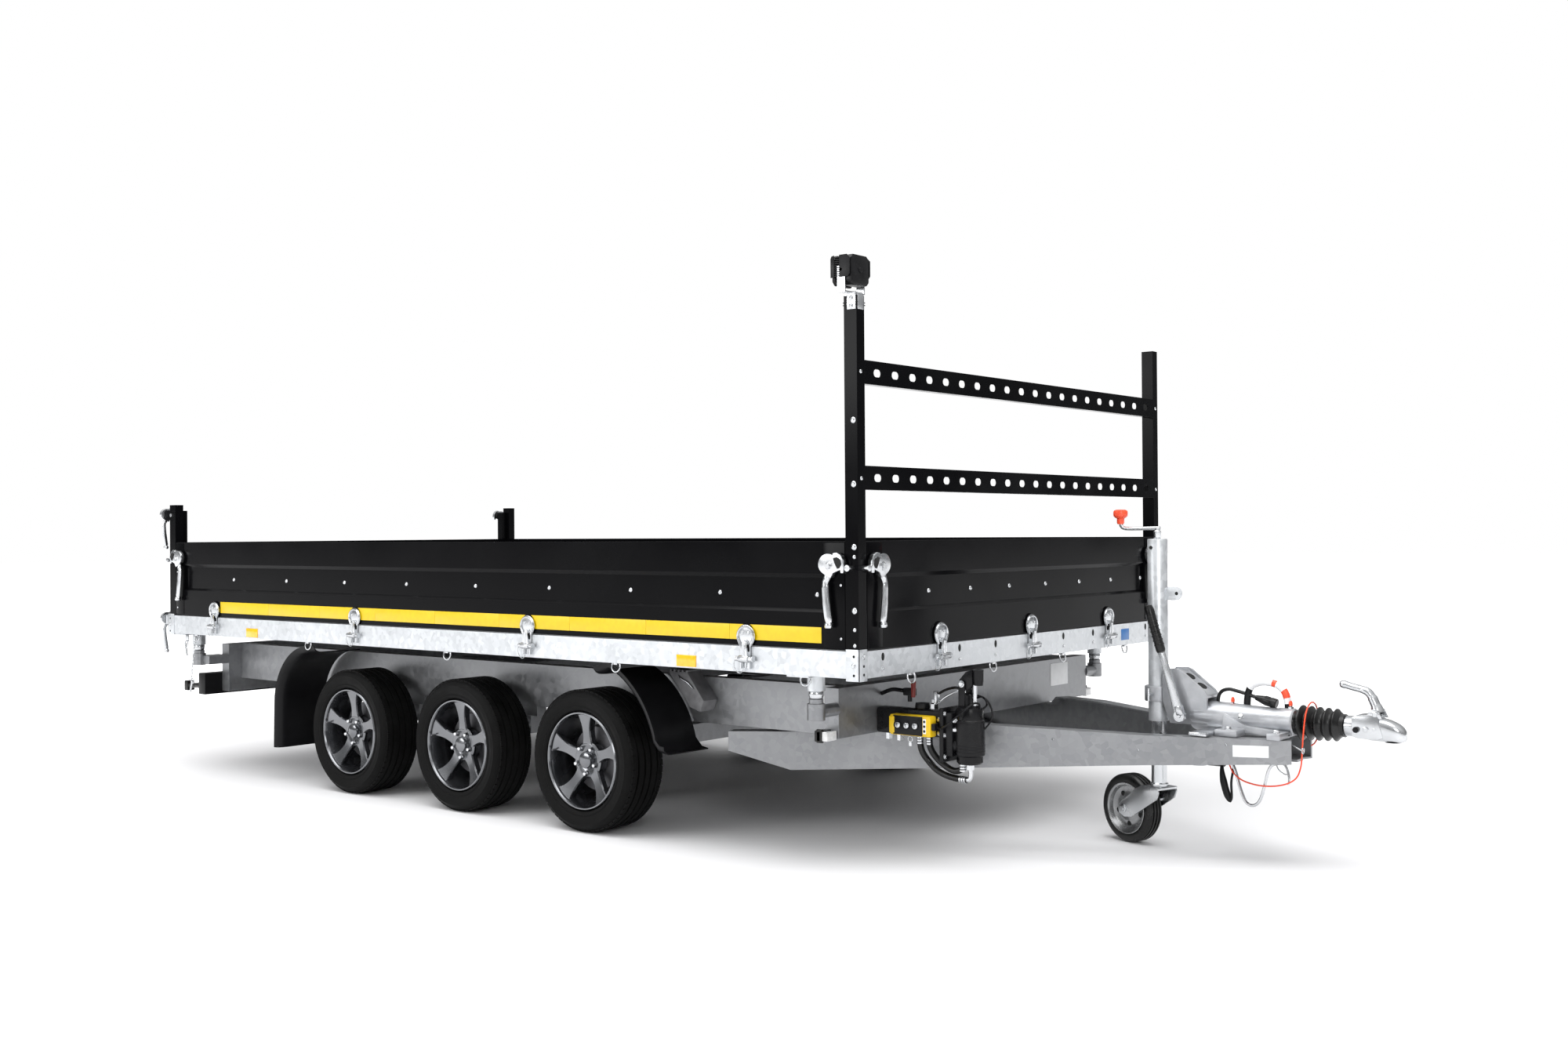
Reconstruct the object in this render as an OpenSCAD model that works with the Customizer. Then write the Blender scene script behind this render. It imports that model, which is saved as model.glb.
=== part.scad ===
// Tri-axle three-way tipping trailer with drop sides and a perforated front rack.
// +X points to the coupling, +Y to the left-hand side, +Z up; the tyres stand on z = 0.

/* [Bed] */
// Length of the bed over its rails
bed_l = 4120; // [3400:10:5000]
// Width of the bed over its rails
bed_w = 2120; // [1760:10:2550]
// Height of the underside of the bed rails
rail_z = 635; // [620:1:760]
// Height of the bed rails
rail_h = 86; // [70:1:120]
// Width of the bed rails
rail_w = 45; // [30:1:60]
// Wall of the folded bed rails
rail_wall = 4; // [2:0.5:6]
// Thickness of the load floor
floor_t = 18; // [12:1:27]
// Height of the drop-down panels
panel_h = 346; // [300:1:600]
// Depth of the folded panels
panel_t = 25; // [20:1:40]
// Sheet thickness of the folded panels
panel_wall = 3; // [2:0.5:4]
// Number of hinges on each side panel
side_hinges = 4; // [3:1:6]

/* [Posts and rack] */
// Length of a corner post along the trailer
post_x = 50; // [40:1:80]
// Width of a corner post across the trailer
post_y = 41; // [30:1:60]
// Height of the top of the front posts
front_post_top = 1846; // [1700:1:2200]
// Height of the top of the rear posts
rear_post_top = 1249; // [1200:1:1700]
// Height of the lower rack bar's underside
rack_low_z = 1233; // [1160:1:1300]
// Height of the upper rack bar's underside
rack_top_z = 1568; // [1400:1:1740]
// Height of a rack bar
bar_h = 76; // [60:1:100]
// Depth of a rack bar
bar_d = 30; // [20:1:45]
// Length of a rack slot
slot_l = 40; // [30:1:60]
// Height of a rack slot
slot_h = 25; // [12:1:35]
// Distance between neighbouring rack slots
slot_pitch = 100; // [70:1:120]
// Number of slots in a rack bar
slot_n = 20; // [10:2:20]

/* [Running gear] */
// Outside diameter of a tyre
tyre_d = 525; // [480:1:560]
// Width of a tyre
tyre_w = 195; // [155:1:205]
// Diameter of the rim at the tyre's bead
rim_d = 364; // [330:1:380]
// Distance between the wheel centres of one axle
track = 1889; // [1870:1:2150]
// Distance of the first axle behind the bed's front
axle_back = 1297; // [1100:1:1500]
// Distance between neighbouring axles
axle_pitch = 714; // [620:1:800]
// Radius of a stub axle
stub_r = 20; // [15:0.5:26]

/* [Chassis] */
// Distance between the outer faces of the chassis rails
chassis_w = 1580; // [1400:1:1600]
// Height of the underside of the chassis rails
chassis_z = 409; // [390:1:430]
// Height of the chassis rails
chassis_h = 168; // [140:1:180]
// Half width of the front beam
front_beam_half = 857; // [820:1:900]
// Distance of a ball pivot from the centre plane
pivot_y = 960; // [930:1:980]
// Height of the ball pivots
pivot_z = 565; // [550:1:575]
// Radius of a pivot ball
ball_r = 25; // [20:1:30]

/* [Drawbar] */
// Distance of the drawbar's nose in front of the bed
nose_x = 1008; // [900:1:1200]
// Half width of the drawbar at its nose
nose_half = 90; // [80:1:120]
// Angle of each drawbar leg to the centre plane
leg_angle = 21.7; // [18:0.1:24]
// Width of a drawbar leg
leg_w = 60; // [40:1:80]
// Height of the drawbar's upper face at its nose
leg_top = 416; // [410:1:420]
// Height of the drawbar's lower face at its nose
leg_low = 341; // [320:1:350]

/* [Coupling and jockey wheel] */
// Distance of the coupling's tip in front of the bed
reach_front = 1341; // [1300:1:1400]
// Height of the drawtube's centre line
tube_z = 468; // [460:1:480]
// Radius of the drawtube
drawtube_r = 25; // [20:0.5:30]
// Distance that the drawtube can be pushed in
overrun = 90; // [60:1:110]
// Radius of the ball socket
socket_r = 25.25; // [25:0.05:26]
// Distance of the jockey wheel's post in front of the bed
jockey_x = 505; // [480:1:560]
// Outer radius of the jockey post
jockey_r = 34; // [28:1:36]
// Height of the jockey post's top
jockey_top = 1068; // [900:1:1200]
// Diameter of the jockey wheel
jockey_d = 240; // [200:1:260]
// Distance of the jockey wheel's axle behind its post
jockey_trail = 132; // [110:1:150]
// Angle the castor stands at, from straight behind
jockey_turn = -19; // [-180:1:180]

/* [Hidden] */
$fn = 48;

black = "#17181a";
zinc = "#c9ced3";
galvanised = "#b9bcbe";
rubber = "#1e1e1f";
hose_black = "#232323";
sheet_grey = "#8f9294";

gap = 0.3;                                  // between faces of pieces that only stand side by side
fit = 0.05;                                 // radial clearance of a pin or shaft in its bore
marker_out = 108;                           // reach of the rear marker lamps behind the bed
reach_back = bed_l + marker_out;
front_x = (reach_back - reach_front) / 2;   // the bed's front face, so that the whole is centred
half_w = bed_w / 2;
rail_top = rail_z + rail_h;
panel_face = half_w - 2;                    // outer face of a side panel
panel_z = rail_top + 3;
panel_top = panel_z + panel_h;
hinge_out = 14;                             // hinge axis outside the rail's face
hinge_drop = 41;                            // hinge axis below the rail's top
hinge_z = rail_top - hinge_drop;
hinge_r = 8;
knuckle_r = 11;
end_in = 52;                                // side panels start this far from the bed's front
rear_post_x = bed_l - 63;                   // front face of the rear posts, behind the bed's front
axle_x = [for (i = [0:2]) -axle_back - i * axle_pitch];
wheel_z = tyre_d / 2;
chassis_half = chassis_w / 2;
chassis_top = chassis_z + chassis_h;
chassis_rear = bed_l - 190;
pivot_front = 250;                          // front ball pivots behind the bed's front
pivot_rear = bed_l - 101;                   // rear ball pivots behind the bed's front
ram_x = -2220;
ram_z = 300;                                // height of the ram's trunnions
ram_r = 65;
ram_step = 8;                               // each stage is this much thinner and taller
ram_top = 560;

// A box from its lowest to its highest corner
module block(x0, x1, y0, y1, z0, z1) {
  translate([x0, y0, z0]) cube([x1 - x0, y1 - y0, z1 - z0]);
}
// A round bar along X, Y or Z from a to b
module bar_x(r, a, b, y = 0, z = 0) { translate([a, y, z]) rotate([0, 90, 0]) cylinder(r = r, h = b - a); }
module bar_y(r, a, b, x = 0, z = 0) { translate([x, b, z]) rotate([90, 0, 0]) cylinder(r = r, h = b - a); }
module bar_z(r, a, b, x = 0, y = 0) { translate([x, y, a]) cylinder(r = r, h = b - a); }
// Both hands of a piece that is drawn on the left
module both() { children(); mirror([0, 1, 0]) children(); }
// One hand of a piece that is drawn on the left: side is 1 for left, -1 for right
module hand(side) { if (side > 0) children(); else mirror([0, 1, 0]) children(); }
// From the bed's front face to the part's own origin
module place() { translate([front_x, 0, 0]) children(); }
// An outline in X and Z, extruded across from y0 to y1
module plate_y(points, y0, y1) { translate([0, y1, 0]) rotate([90, 0, 0]) linear_extrude(y1 - y0) polygon(points); }

// ---- chassis ----
module chassis_rail() {
  difference() {
    block(-chassis_rear, -296, chassis_half - 50, chassis_half, chassis_z, chassis_top);
    block(-chassis_rear - 1, -295, chassis_half - 51, chassis_half - 5, chassis_z + 5, chassis_top - 5);
  }
}
module chassis_rails() { color(galvanised) place() both() chassis_rail(); }

module cross_channel(x, z0, z1, half) {
  difference() {
    block(x - 30, x + 30, -half, half, z0, z1);
    block(x - 31, x + 25, -half + 5, half - 5, z0 + 5, z1 - 5);
  }
}
module ram_cradle() {
  difference() {
    union() {
      both() plate_y([[ram_x - 219, 440], [ram_x - 60, 262], [ram_x + 60, 262], [ram_x + 219, 440],
                      [ram_x + 219, 500], [ram_x - 219, 500]], 85, 97);
      cross_channel(ram_x - 250, 430, 570, chassis_half - 50 - gap);
      cross_channel(ram_x + 250, 430, 570, chassis_half - 50 - gap);
    }
    bar_y(stub_r + fit, -98, 98, ram_x, ram_z);
  }
}
module chassis_beams() {
  color(galvanised) place() {
    cross_channel(-265.3, chassis_z, chassis_top, front_beam_half);
    cross_channel(-800, 430, 570, chassis_half - 50 - gap);
    ram_cradle();
    cross_channel(-3300, 430, 570, chassis_half - 50 - gap);
    cross_channel(-chassis_rear - 31, chassis_z - 60, chassis_top, chassis_half + 67);
  }
}

// Length along a leg from the nose to the place x
function along(x) = (nose_x - x) / cos(leg_angle);
module leg_outline(inset) {
  top = leg_top - inset;
  low = leg_low + inset;
  polygon([[along(nose_x), low], [along(580), low - 19], [along(60), low - 49], [along(-560), low - 83],
           [along(-776), low - 23], [along(-776), top - 28], [along(-190), top - 11], [along(-155), top + 20],
           [along(60), top + 24], [along(580), top + 4], [along(nose_x), top]]);
}
module drawbar_leg() {
  translate([nose_x, -nose_half, 0]) rotate([0, 0, 180 + leg_angle]) rotate([90, 0, 0]) difference() {
    linear_extrude(leg_w) leg_outline(0);
    translate([0, 0, 6]) linear_extrude(leg_w) leg_outline(6);
  }
}
module drawbar() {
  nose_in = nose_half - leg_w / cos(leg_angle);
  color(galvanised) place() {
    both() drawbar_leg();
    block(nose_x - 60, nose_x - 6, -nose_in, nose_in, leg_low, leg_low + 8);
    block(nose_x - 60, nose_x - 52, -nose_in, nose_in, leg_low, leg_top - 8);
  }
}

pillar_r = ball_r + 5;
module pivot_pillar() {
  difference() {
    union() {
      bar_z(pillar_r, pivot_z - 85, pivot_z - ball_r - 5);
      bar_z(ball_r - 1, pivot_z - ball_r - 6, pivot_z - ball_r * 0.6);
    }
    translate([0, 0, pivot_z]) sphere(r = ball_r + fit * 2);
  }
}
module pivot_pillars() {
  color(zinc) place() both() {
    translate([-pivot_front, pivot_y, 0]) pivot_pillar();
    difference() {
      bar_y(22, front_beam_half + gap, pivot_y, -pivot_front, pivot_z - 58);
      bar_z(pillar_r - 1, pivot_z - 90, pivot_z - 20, -pivot_front, pivot_y);
    }
    translate([-pivot_rear, pivot_y, 0]) pivot_pillar();
    difference() {
      block(-pivot_rear - 8, -chassis_rear - 2, chassis_half + 67 + gap, pivot_y, pivot_z - 80, pivot_z - 40);
      bar_z(pillar_r - 1, pivot_z - 90, pivot_z - 20, -pivot_rear, pivot_y);
    }
  }
}
module pivot_balls(side) {
  color(zinc) place() for (x = [pivot_front, pivot_rear])
    translate([-x, side * pivot_y, pivot_z]) sphere(r = ball_r);
}
module pivot_balls_right() { pivot_balls(-1); }
module pivot_balls_left() { pivot_balls(1); }

arm_in = chassis_half + 10;
arm_out = arm_in + 35;
arm_trail = 150;
tube_up = 335;                              // height of the axle tubes' centre
arm_rise = tube_up - wheel_z;
module axle_arm() {
  difference() {
    union() {
      translate([arm_trail, 0, tube_up]) rotate([0, 180 - atan(arm_rise / arm_trail), 0])
        translate([0, arm_in, -26]) cube([norm([arm_trail, arm_rise]), 35, 52]);
      bar_y(34, arm_in, arm_out, arm_trail, tube_up);
      bar_y(34, arm_in, arm_out, 0, wheel_z);
      bar_y(110, arm_out, arm_out + 12, 0, wheel_z);
      bar_y(95, arm_out + 12, arm_out + 50, 0, wheel_z);
    }
    bar_y(80, arm_out + 16, arm_out + 51, 0, wheel_z);
  }
  bar_y(stub_r, arm_out, track / 2 + 65, 0, wheel_z);
}
module axles() {
  color(galvanised) place() for (x = axle_x) translate([x, 0, 0]) {
    block(arm_trail - 35, arm_trail + 35, -arm_in - 1, arm_in + 1, tube_up - 35, tube_up + 35);
    both() axle_arm();
    both() block(arm_trail - 60, arm_trail + 60, chassis_half - 50, chassis_half, tube_up + 34, chassis_z - gap);
  }
}

guard_in = chassis_half + 10;
guard_out = track / 2 + tyre_w / 2 - 2;
guard_r = 375;
guard_t = 5;
rear_guard_r = 235;
module front_guard() {
  translate([axle_x[0], guard_out, wheel_z]) rotate([90, 0, 0]) linear_extrude(guard_out - guard_in) {
    intersection() {
      difference() { circle(r = guard_r); circle(r = guard_r - guard_t); }
      polygon([[0, 0], [600, 137], [600, 900], [135, 430]]);
    }
    polygon([[361, 84], [366, 84], [424, 62], [424, 57]]);
  }
}
module rear_guard() {
  top = 400;
  translate([axle_x[2] - 271, guard_out, top]) rotate([90, 0, 0]) linear_extrude(guard_out - guard_in) {
    intersection() {
      difference() { circle(r = rear_guard_r); circle(r = rear_guard_r - guard_t); }
      polygon([[0, 0], [-300, 0], [-300, 300], [60, 300]]);
    }
    translate([-rear_guard_r, 152 - top]) square([guard_t, top - 151]);
  }
}
module guard_envelope() {
  edge = pivot_z + 23;
  translate([-bed_l, 0, 0]) rotate([90, 0, 90]) linear_extrude(bed_l)
    polygon([[guard_in, 100], [guard_out, 100], [guard_out, edge], [guard_out - 55, edge + 24], [guard_in, edge + 24]]);
}
module mudguards() {
  color(black) place() both() intersection() {
    union() { front_guard(); rear_guard(); }
    guard_envelope();
  }
}

module lamps() {
  bar_back = chassis_rear + 61 + gap;
  place() both() {
    color(black) block(-bar_back - 60, -bar_back, 0, 950, 335, 440);
    color("darkred") block(-bar_back - 85, -bar_back - 60, 660, 900, 345, 430);
    color(rubber) bar_x(13, -reach_back + 40, -bar_back - 60, 925, 372);
    color("orange") block(-reach_back, -reach_back + 40, 905, 945, 345, 395);
    color(black) block(-295, -265, front_beam_half + gap, front_beam_half + 60, 400, 440);
    color("white") block(-265, -240, front_beam_half + 5, front_beam_half + 60, 402, 438);
  }
}

module wheel_chocks() {
  y0 = chassis_half + gap;
  color(sheet_grey) place() both() plate_y([[-1010, 600], [-905, 600], [-830, 500], [-850, 455], [-900, 470]], y0, y0 + 80);
}

// ---- hydraulics ----
pack_y = -600;                              // centre plane of the pump set
pack_x = 115;                               // centre line of the pump's barrel before the bed
button_x = [-115, -80, -45];
button_z = 448;
pump_x = pack_x - 15;                       // pivot of the hand pump's lever
pump_z = 592;
// Two ears, one on each side of the pump's centre plane
module both_ears() { for (s = [0, 1]) translate([0, pack_y, 0]) mirror([0, s, 0]) children(); }
module power_pack() {
  near = pack_y - 85;                       // face of the hand control
  color(black) place() {
    block(-235, 36, pack_y - 46, pack_y + 8, 408, 500);
    block(36, 50, pack_y - 62, pack_y + 62, 330, 512);
    block(49, 75, pack_y - 35, pack_y + 35, 345, 500);
    bar_z(52, 325, 520, pack_x, pack_y);
    bar_z(20, 519, 558, pump_x, pack_y);
    both_ears() block(pump_x - 12, pump_x + 12, 20 + gap, 26, 519, 602);
  }
  color(zinc) place() {
    bar_z(11, 272, 326, pack_x, pack_y);
    bar_y(6, pack_y - 28, pack_y + 28, pump_x, pump_z);
  }
  color("gold") place() difference() {
    block(-150, 15, near, pack_y - 45, 412, 484);
    for (x = button_x) bar_y(11 + gap, near - 1, near + 7, x, button_z);
  }
}
module button(i) {
  color(zinc) place() bar_y(11, pack_y - 92, pack_y - 85 - gap, button_x[i], button_z);
}
module button_up() { button(0); }
module button_down() { button(1); }
module button_stop() { button(2); }
module hand_pump_lever() {
  color(black) place() difference() {
    union() {
      bar_z(17, pump_z - 2, pump_z + 48, pump_x + 50, pack_y);
      block(pump_x, pump_x + 46, pack_y - 14, pack_y + 14, pump_z - 14, pump_z + 14);
      bar_y(16, pack_y - 20, pack_y + 20, pump_x, pump_z);
    }
    bar_z(12, pump_z + 8, pump_z + 49, pump_x + 50, pack_y);
    bar_y(6 + fit, pack_y - 21, pack_y + 21, pump_x, pump_z);
  }
}
module hydraulic_hoses() {
  color(hose_black) place() translate([pack_x - 35, 0, 0]) {
    tube(hose_low_points, hose_d, 10);
    tube(hose_high_points, hose_d, 10);
  }
}

// The ram: a barrel on trunnions, four stages and a ball head
module ram_barrel() {
  color(black) place() difference() {
    union() {
      bar_z(ram_r, 215, ram_top, ram_x);
      bar_y(stub_r, -110, 110, ram_x, ram_z);
    }
    bar_z(ram_r - ram_step + gap, 230, ram_top + 1, ram_x);
  }
}
module ram_stage(n) {
  r = ram_r - n * ram_step;
  color(n % 2 == 0 ? zinc : "silver") place() difference() {
    bar_z(r, 231, ram_top + n * ram_step, ram_x);
    bar_z(r - ram_step + gap, 230, ram_top + n * ram_step + 1, ram_x);
  }
}
module ram_stage_1() { ram_stage(1); }
module ram_stage_2() { ram_stage(2); }
module ram_stage_3() { ram_stage(3); }
module ram_stage_4() {
  color(zinc) place() {
    bar_z(ram_r - 4 * ram_step, 231, ram_top + 4 * ram_step, ram_x);
    translate([ram_x, 0, 612]) sphere(r = 24);
  }
}

// ---- wheels ----
module tyre() {
  w = tyre_w / 2;
  r = tyre_d / 2;
  bead = rim_d / 2 + gap;
  rotate([90, 0, 0]) rotate_extrude($fn = 96) polygon([
    [bead, -w + 22], [bead + 8, -w + 12], [bead + 30, -w + 2], [bead + 48, -w], [r - 22, -w + 7], [r - 7, -w + 17],
    [r, -w + 32], [r, w - 32], [r - 7, w - 17], [r - 22, w - 7], [bead + 48, w], [bead + 30, w - 2],
    [bead + 8, w - 12], [bead, w - 22]]);
}
module rim() {
  w = tyre_w / 2 - 14;
  r = rim_d / 2;
  difference() {
    union() {
      rotate([90, 0, 0]) rotate_extrude($fn = 96) polygon([
        [r - 14, -w], [r, -w], [r, w], [r - 14, w], [r - 14, w - 8], [r - 24, w - 20],
        [r - 24, -w + 20], [r - 14, -w + 8]]);
      bar_y(62, 16, 68);
      for (i = [0:4]) rotate([0, i * 72, 0]) block(50, r - 16, 48, 68, -19, 19);
      bar_y(30, 68, 86);
    }
    bar_y(stub_r + fit, 15, 66);
  }
}
module wheel(i, side) {
  place() translate([axle_x[i], 0, wheel_z]) hand(side) translate([0, track / 2, 0]) {
    color(rubber) tyre();
    color("silver") rim();
  }
}
module wheel_front_left() { wheel(0, 1); }
module wheel_front_right() { wheel(0, -1); }
module wheel_middle_left() { wheel(1, 1); }
module wheel_middle_right() { wheel(1, -1); }
module wheel_rear_left() { wheel(2, 1); }
module wheel_rear_right() { wheel(2, -1); }

// ---- bed ----
cup_drop = ball_r * 0.48;                   // a cup's rim stands this far above its ball's centre
module pivot_cup() {
  difference() {
    bar_z(pillar_r, pivot_z + cup_drop, rail_z - 2);
    translate([0, 0, pivot_z]) sphere(r = ball_r + fit * 2);
  }
}
module side_rail() {
  difference() {
    block(-bed_l, 0, half_w - rail_w, half_w, rail_z, rail_top);
    block(-bed_l - 1, 1, half_w - rail_w - 1, half_w - rail_wall, rail_z + rail_wall, rail_top - rail_wall);
  }
}
module end_rail(x0, x1, cut0, cut1) {
  half = half_w - rail_w - gap;
  difference() {
    block(x0, x1, -half, half, rail_z, rail_top);
    block(cut0, cut1, -half - 1, half + 1, rail_z + rail_wall, rail_top - rail_wall);
  }
}
// A plate under each side rail carries the rail's two ball cups
module cup_plate(x) {
  block(-x - 45, -x + 45, pivot_y - 60, half_w - 2, rail_z - 6 - gap, rail_z - gap);
}
module bed_cross(x) {
  block(x - 25, x + 25, -(half_w - rail_w - gap), half_w - rail_w - gap, rail_z + 20, rail_top - floor_t - 2);
}
module bed_frame() {
  cross_n = 8;
  color(galvanised) place() {
    both() {
      side_rail();
      block(-bed_l - 30, -bed_l + 1, half_w - 38, half_w - 1, rail_top - 44, rail_top - 1);
      for (x = [pivot_front, pivot_rear]) {
        cup_plate(x);
        translate([-x, pivot_y, 0]) pivot_cup();
      }
    }
    end_rail(-rail_w, 0, -rail_w - 1, -rail_wall);
    end_rail(-bed_l, -bed_l + rail_w, -bed_l + rail_wall, -bed_l + rail_w + 1);
    for (i = [1:cross_n - 1]) {
      x = -i * bed_l / cross_n;
      difference() { bed_cross(x); block(x - 26, x + 19, -900, 900, rail_z + 25, rail_top - floor_t - 7); }
    }
    difference() {
      bed_cross(ram_x);
      block(ram_x - 26, ram_x + 19, -900, 900, rail_z + 25, rail_top - floor_t - 7);
    }
    both() block(ram_x - 22, ram_x + 22, 32, 42, 606, rail_z + 21);
  }
}
module bed_floor() {
  half = half_w - rail_w - gap;
  color("#3b3a38") place() block(-bed_l + rail_w + gap, -rail_w - gap, -half, half, rail_top - floor_t, rail_top - 0.5);
}

pin_z = rear_post_top - 49;                 // height of the tailgate's top pins
pin_x = rear_post_x + 36;
module hollow_post(x0, x1, y0, y1, z0, z1) {
  difference() {
    block(x0, x1, y0, y1, z0, z1);
    block(x0 + 3, x1 - 3, y0 + 3, y1 - 3, z0 - 1, z1 - 3);
  }
}
module corner_posts() {
  y0 = half_w - post_y;
  color(black) place() both() {
    hollow_post(-post_x, 0, y0, half_w, rail_top, front_post_top);
    difference() {
      union() {
        hollow_post(-rear_post_x - post_x, -rear_post_x, y0, half_w, rail_top, rear_post_top);
        block(-bed_l - 30, -rear_post_x - post_x, y0 + 4, half_w, pin_z - 24, pin_z + 24);
      }
      bar_y(hinge_r + fit, y0 - 1, half_w + 1, -pin_x, pin_z);
    }
  }
}

module slot() {
  rotate([0, 90, 0]) linear_extrude(40) {
    square([slot_h, slot_l - slot_h], center = true);
    for (s = [-1, 1]) translate([0, s * (slot_l - slot_h) / 2]) circle(d = slot_h);
  }
}
module rack_bar(z) {
  half = half_w - post_y - gap;
  difference() {
    block(-bar_d, 0, -half, half, z, z + bar_h);
    block(-bar_d - 1, -3, -half - 1, half + 1, z + 3, z + bar_h - 3);
    for (i = [0:slot_n - 1]) translate([-20, (i - (slot_n - 1) / 2) * slot_pitch, z + bar_h / 2]) slot();
  }
}
module rack_bars() {
  color(black) place() {
    rack_bar(rack_low_z);
    rack_bar(rack_top_z);
  }
}

// Hinges are drawn along X with their outside towards +Y and their pin at the origin
ear_in = 15.3;
ear_out = 21.3;
module hinge_ears(pinned) {
  for (s = [-1, 1]) hand_x(s) difference() {
    union() {
      bar_x(knuckle_r, ear_in, ear_out);
      block(ear_in, ear_out, -hinge_out, -2, -33, 0);
    }
    if (!pinned) {
      bar_x(hinge_r + gap, ear_in - 1, ear_out + 1);
      block(ear_in - 1, ear_out + 1, 0, knuckle_r + 2, -hinge_r - gap, knuckle_r + 2);
    }
  }
  if (pinned) bar_x(hinge_r, -ear_in, ear_in);
  block(-ear_out, ear_out, -hinge_out, -hinge_out + 2.5, -33, -12);
}
module hand_x(s) { if (s > 0) children(); else mirror([1, 0, 0]) children(); }
module hinge_strap() {
  foot = hinge_drop + 1.5;                  // the part above the rail lies on the panel
  difference() {
    union() {
      bar_x(knuckle_r, -15, 15);
      block(-15, 15, -hinge_out + 0.5, 0, 0, foot + 5);
      block(-15, 15, -hinge_out - 2, -hinge_out + 4, foot, foot + 40);
      bar_y(30, -hinge_out - 2, -hinge_out + 4, 0, foot + 44);
    }
    bar_x(hinge_r + fit, -16, 16);
  }
}
function side_hinge_x(i) = -463 - i * (bed_l - 463 - 410) / (side_hinges - 1);
end_hinge_y = [-600, 0, 600];
module on_side_hinges() {
  for (i = [0:side_hinges - 1]) translate([side_hinge_x(i), half_w + hinge_out, hinge_z]) children();
}
module on_front_hinges() {
  for (y = end_hinge_y) translate([hinge_out, y, hinge_z]) rotate([0, 0, -90]) children();
}
module on_rear_hinges() {
  for (y = end_hinge_y) translate([-bed_l - hinge_out, y, hinge_z]) rotate([0, 0, 90]) children();
}

lamp_x = -40;
lamp_y = -half_w + 26;
lamp_z = front_post_top + 81;
lamp_half = 48;
module bed_hardware() {
  u = lamp_half + 1;
  color(zinc) place() {
    both() on_side_hinges() hinge_ears(true);
    on_front_hinges() hinge_ears(true);
    on_rear_hinges() hinge_ears(false);
    // U-bracket of the work lamp
    block(-45, -5, -half_w, -half_w + post_y, front_post_top + gap, front_post_top + 10);
    block(lamp_x - 15, lamp_x + 15, lamp_y - u - 4, lamp_y + u + 4, front_post_top + 10, front_post_top + 14);
    for (s = [-1, 1]) {
      block(lamp_x - 15, lamp_x + 15, lamp_y + s * u + (s < 0 ? -4 : 0), lamp_y + s * u + (s < 0 ? 0 : 4),
            front_post_top + 13, lamp_z + 14);
      bar_y(5, lamp_y + s * u - 6, lamp_y + s * u + 6, lamp_x, lamp_z);
    }
  }
}
module work_lamp() {
  u = lamp_half;
  color(black) place() difference() {
    union() {
      block(lamp_x - 42, lamp_x + 30, lamp_y - u, lamp_y + u, lamp_z - u, lamp_z + u);
      for (i = [0:6]) block(lamp_x + 29, lamp_x + 42, lamp_y - 42 + i * 13, lamp_y - 37 + i * 13, lamp_z - 40, lamp_z + 40);
    }
    for (s = [-1, 1]) bar_y(5 + fit, lamp_y + s * u - 8, lamp_y + s * u + 8, lamp_x, lamp_z);
  }
}

// Cross-section of a panel: outside at 0, a recessed band between two folds
module panel_profile() {
  h = panel_h;
  t = panel_wall;
  b = 10;
  low = 118;
  high = h - 104;
  polygon([[0, 0], [0, low], [b, low + 10], [b, high - 14], [0, high], [0, h], [panel_t, h], [panel_t, h - 14],
           [panel_t - t, h - 14], [panel_t - t, h - t], [t, h - t], [t, high + 1], [b + t, high - 13],
           [b + t, low + 9], [t, low - 1], [t, t], [panel_t - t, t], [panel_t - t, 14], [panel_t, 14], [panel_t, 0]]);
}
// A panel along X with its outside towards -Y, from x0 to x1
module panel(x0, x1) {
  translate([x0, 0, 0]) rotate([90, 0, 90]) linear_extrude(x1 - x0) panel_profile();
  for (x = [x0, x1 - 5]) block(x, x + 5, 0.5, panel_t - 0.5, 0.5, panel_h - 0.5);
}
module side_panel(side) {
  color(black) place() hand(side) {
    translate([0, panel_face, panel_z]) mirror([0, 1, 0]) panel(-rear_post_x + 2, -end_in);
    on_side_hinges() hinge_strap();
  }
}
module side_panel_left() { side_panel(1); }
module side_panel_right() { side_panel(-1); }
end_half = half_w - post_y - 2;             // half width of the front panel and tailgate
module front_panel() {
  color(black) place() {
    translate([-2, 0, panel_z]) rotate([0, 0, 90]) panel(-end_half, end_half);
    on_front_hinges() hinge_strap();
  }
}
arm_w = 31;
module tailgate() {
  color(black) place() {
    translate([-bed_l + 2, 0, panel_z]) rotate([0, 0, -90]) panel(-end_half, end_half);
    both() block(-bed_l + 2, -bed_l + 42, end_half - arm_w, end_half, panel_z, pin_z + 22);
    on_rear_hinges() hinge_strap();
  }
}
module tailgate_pins() {
  color(zinc) place() {
    both() bar_y(hinge_r, end_half + gap, half_w + 4, -pin_x, pin_z);
    on_rear_hinges() bar_x(hinge_r, -ear_out, ear_out);
  }
}

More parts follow.
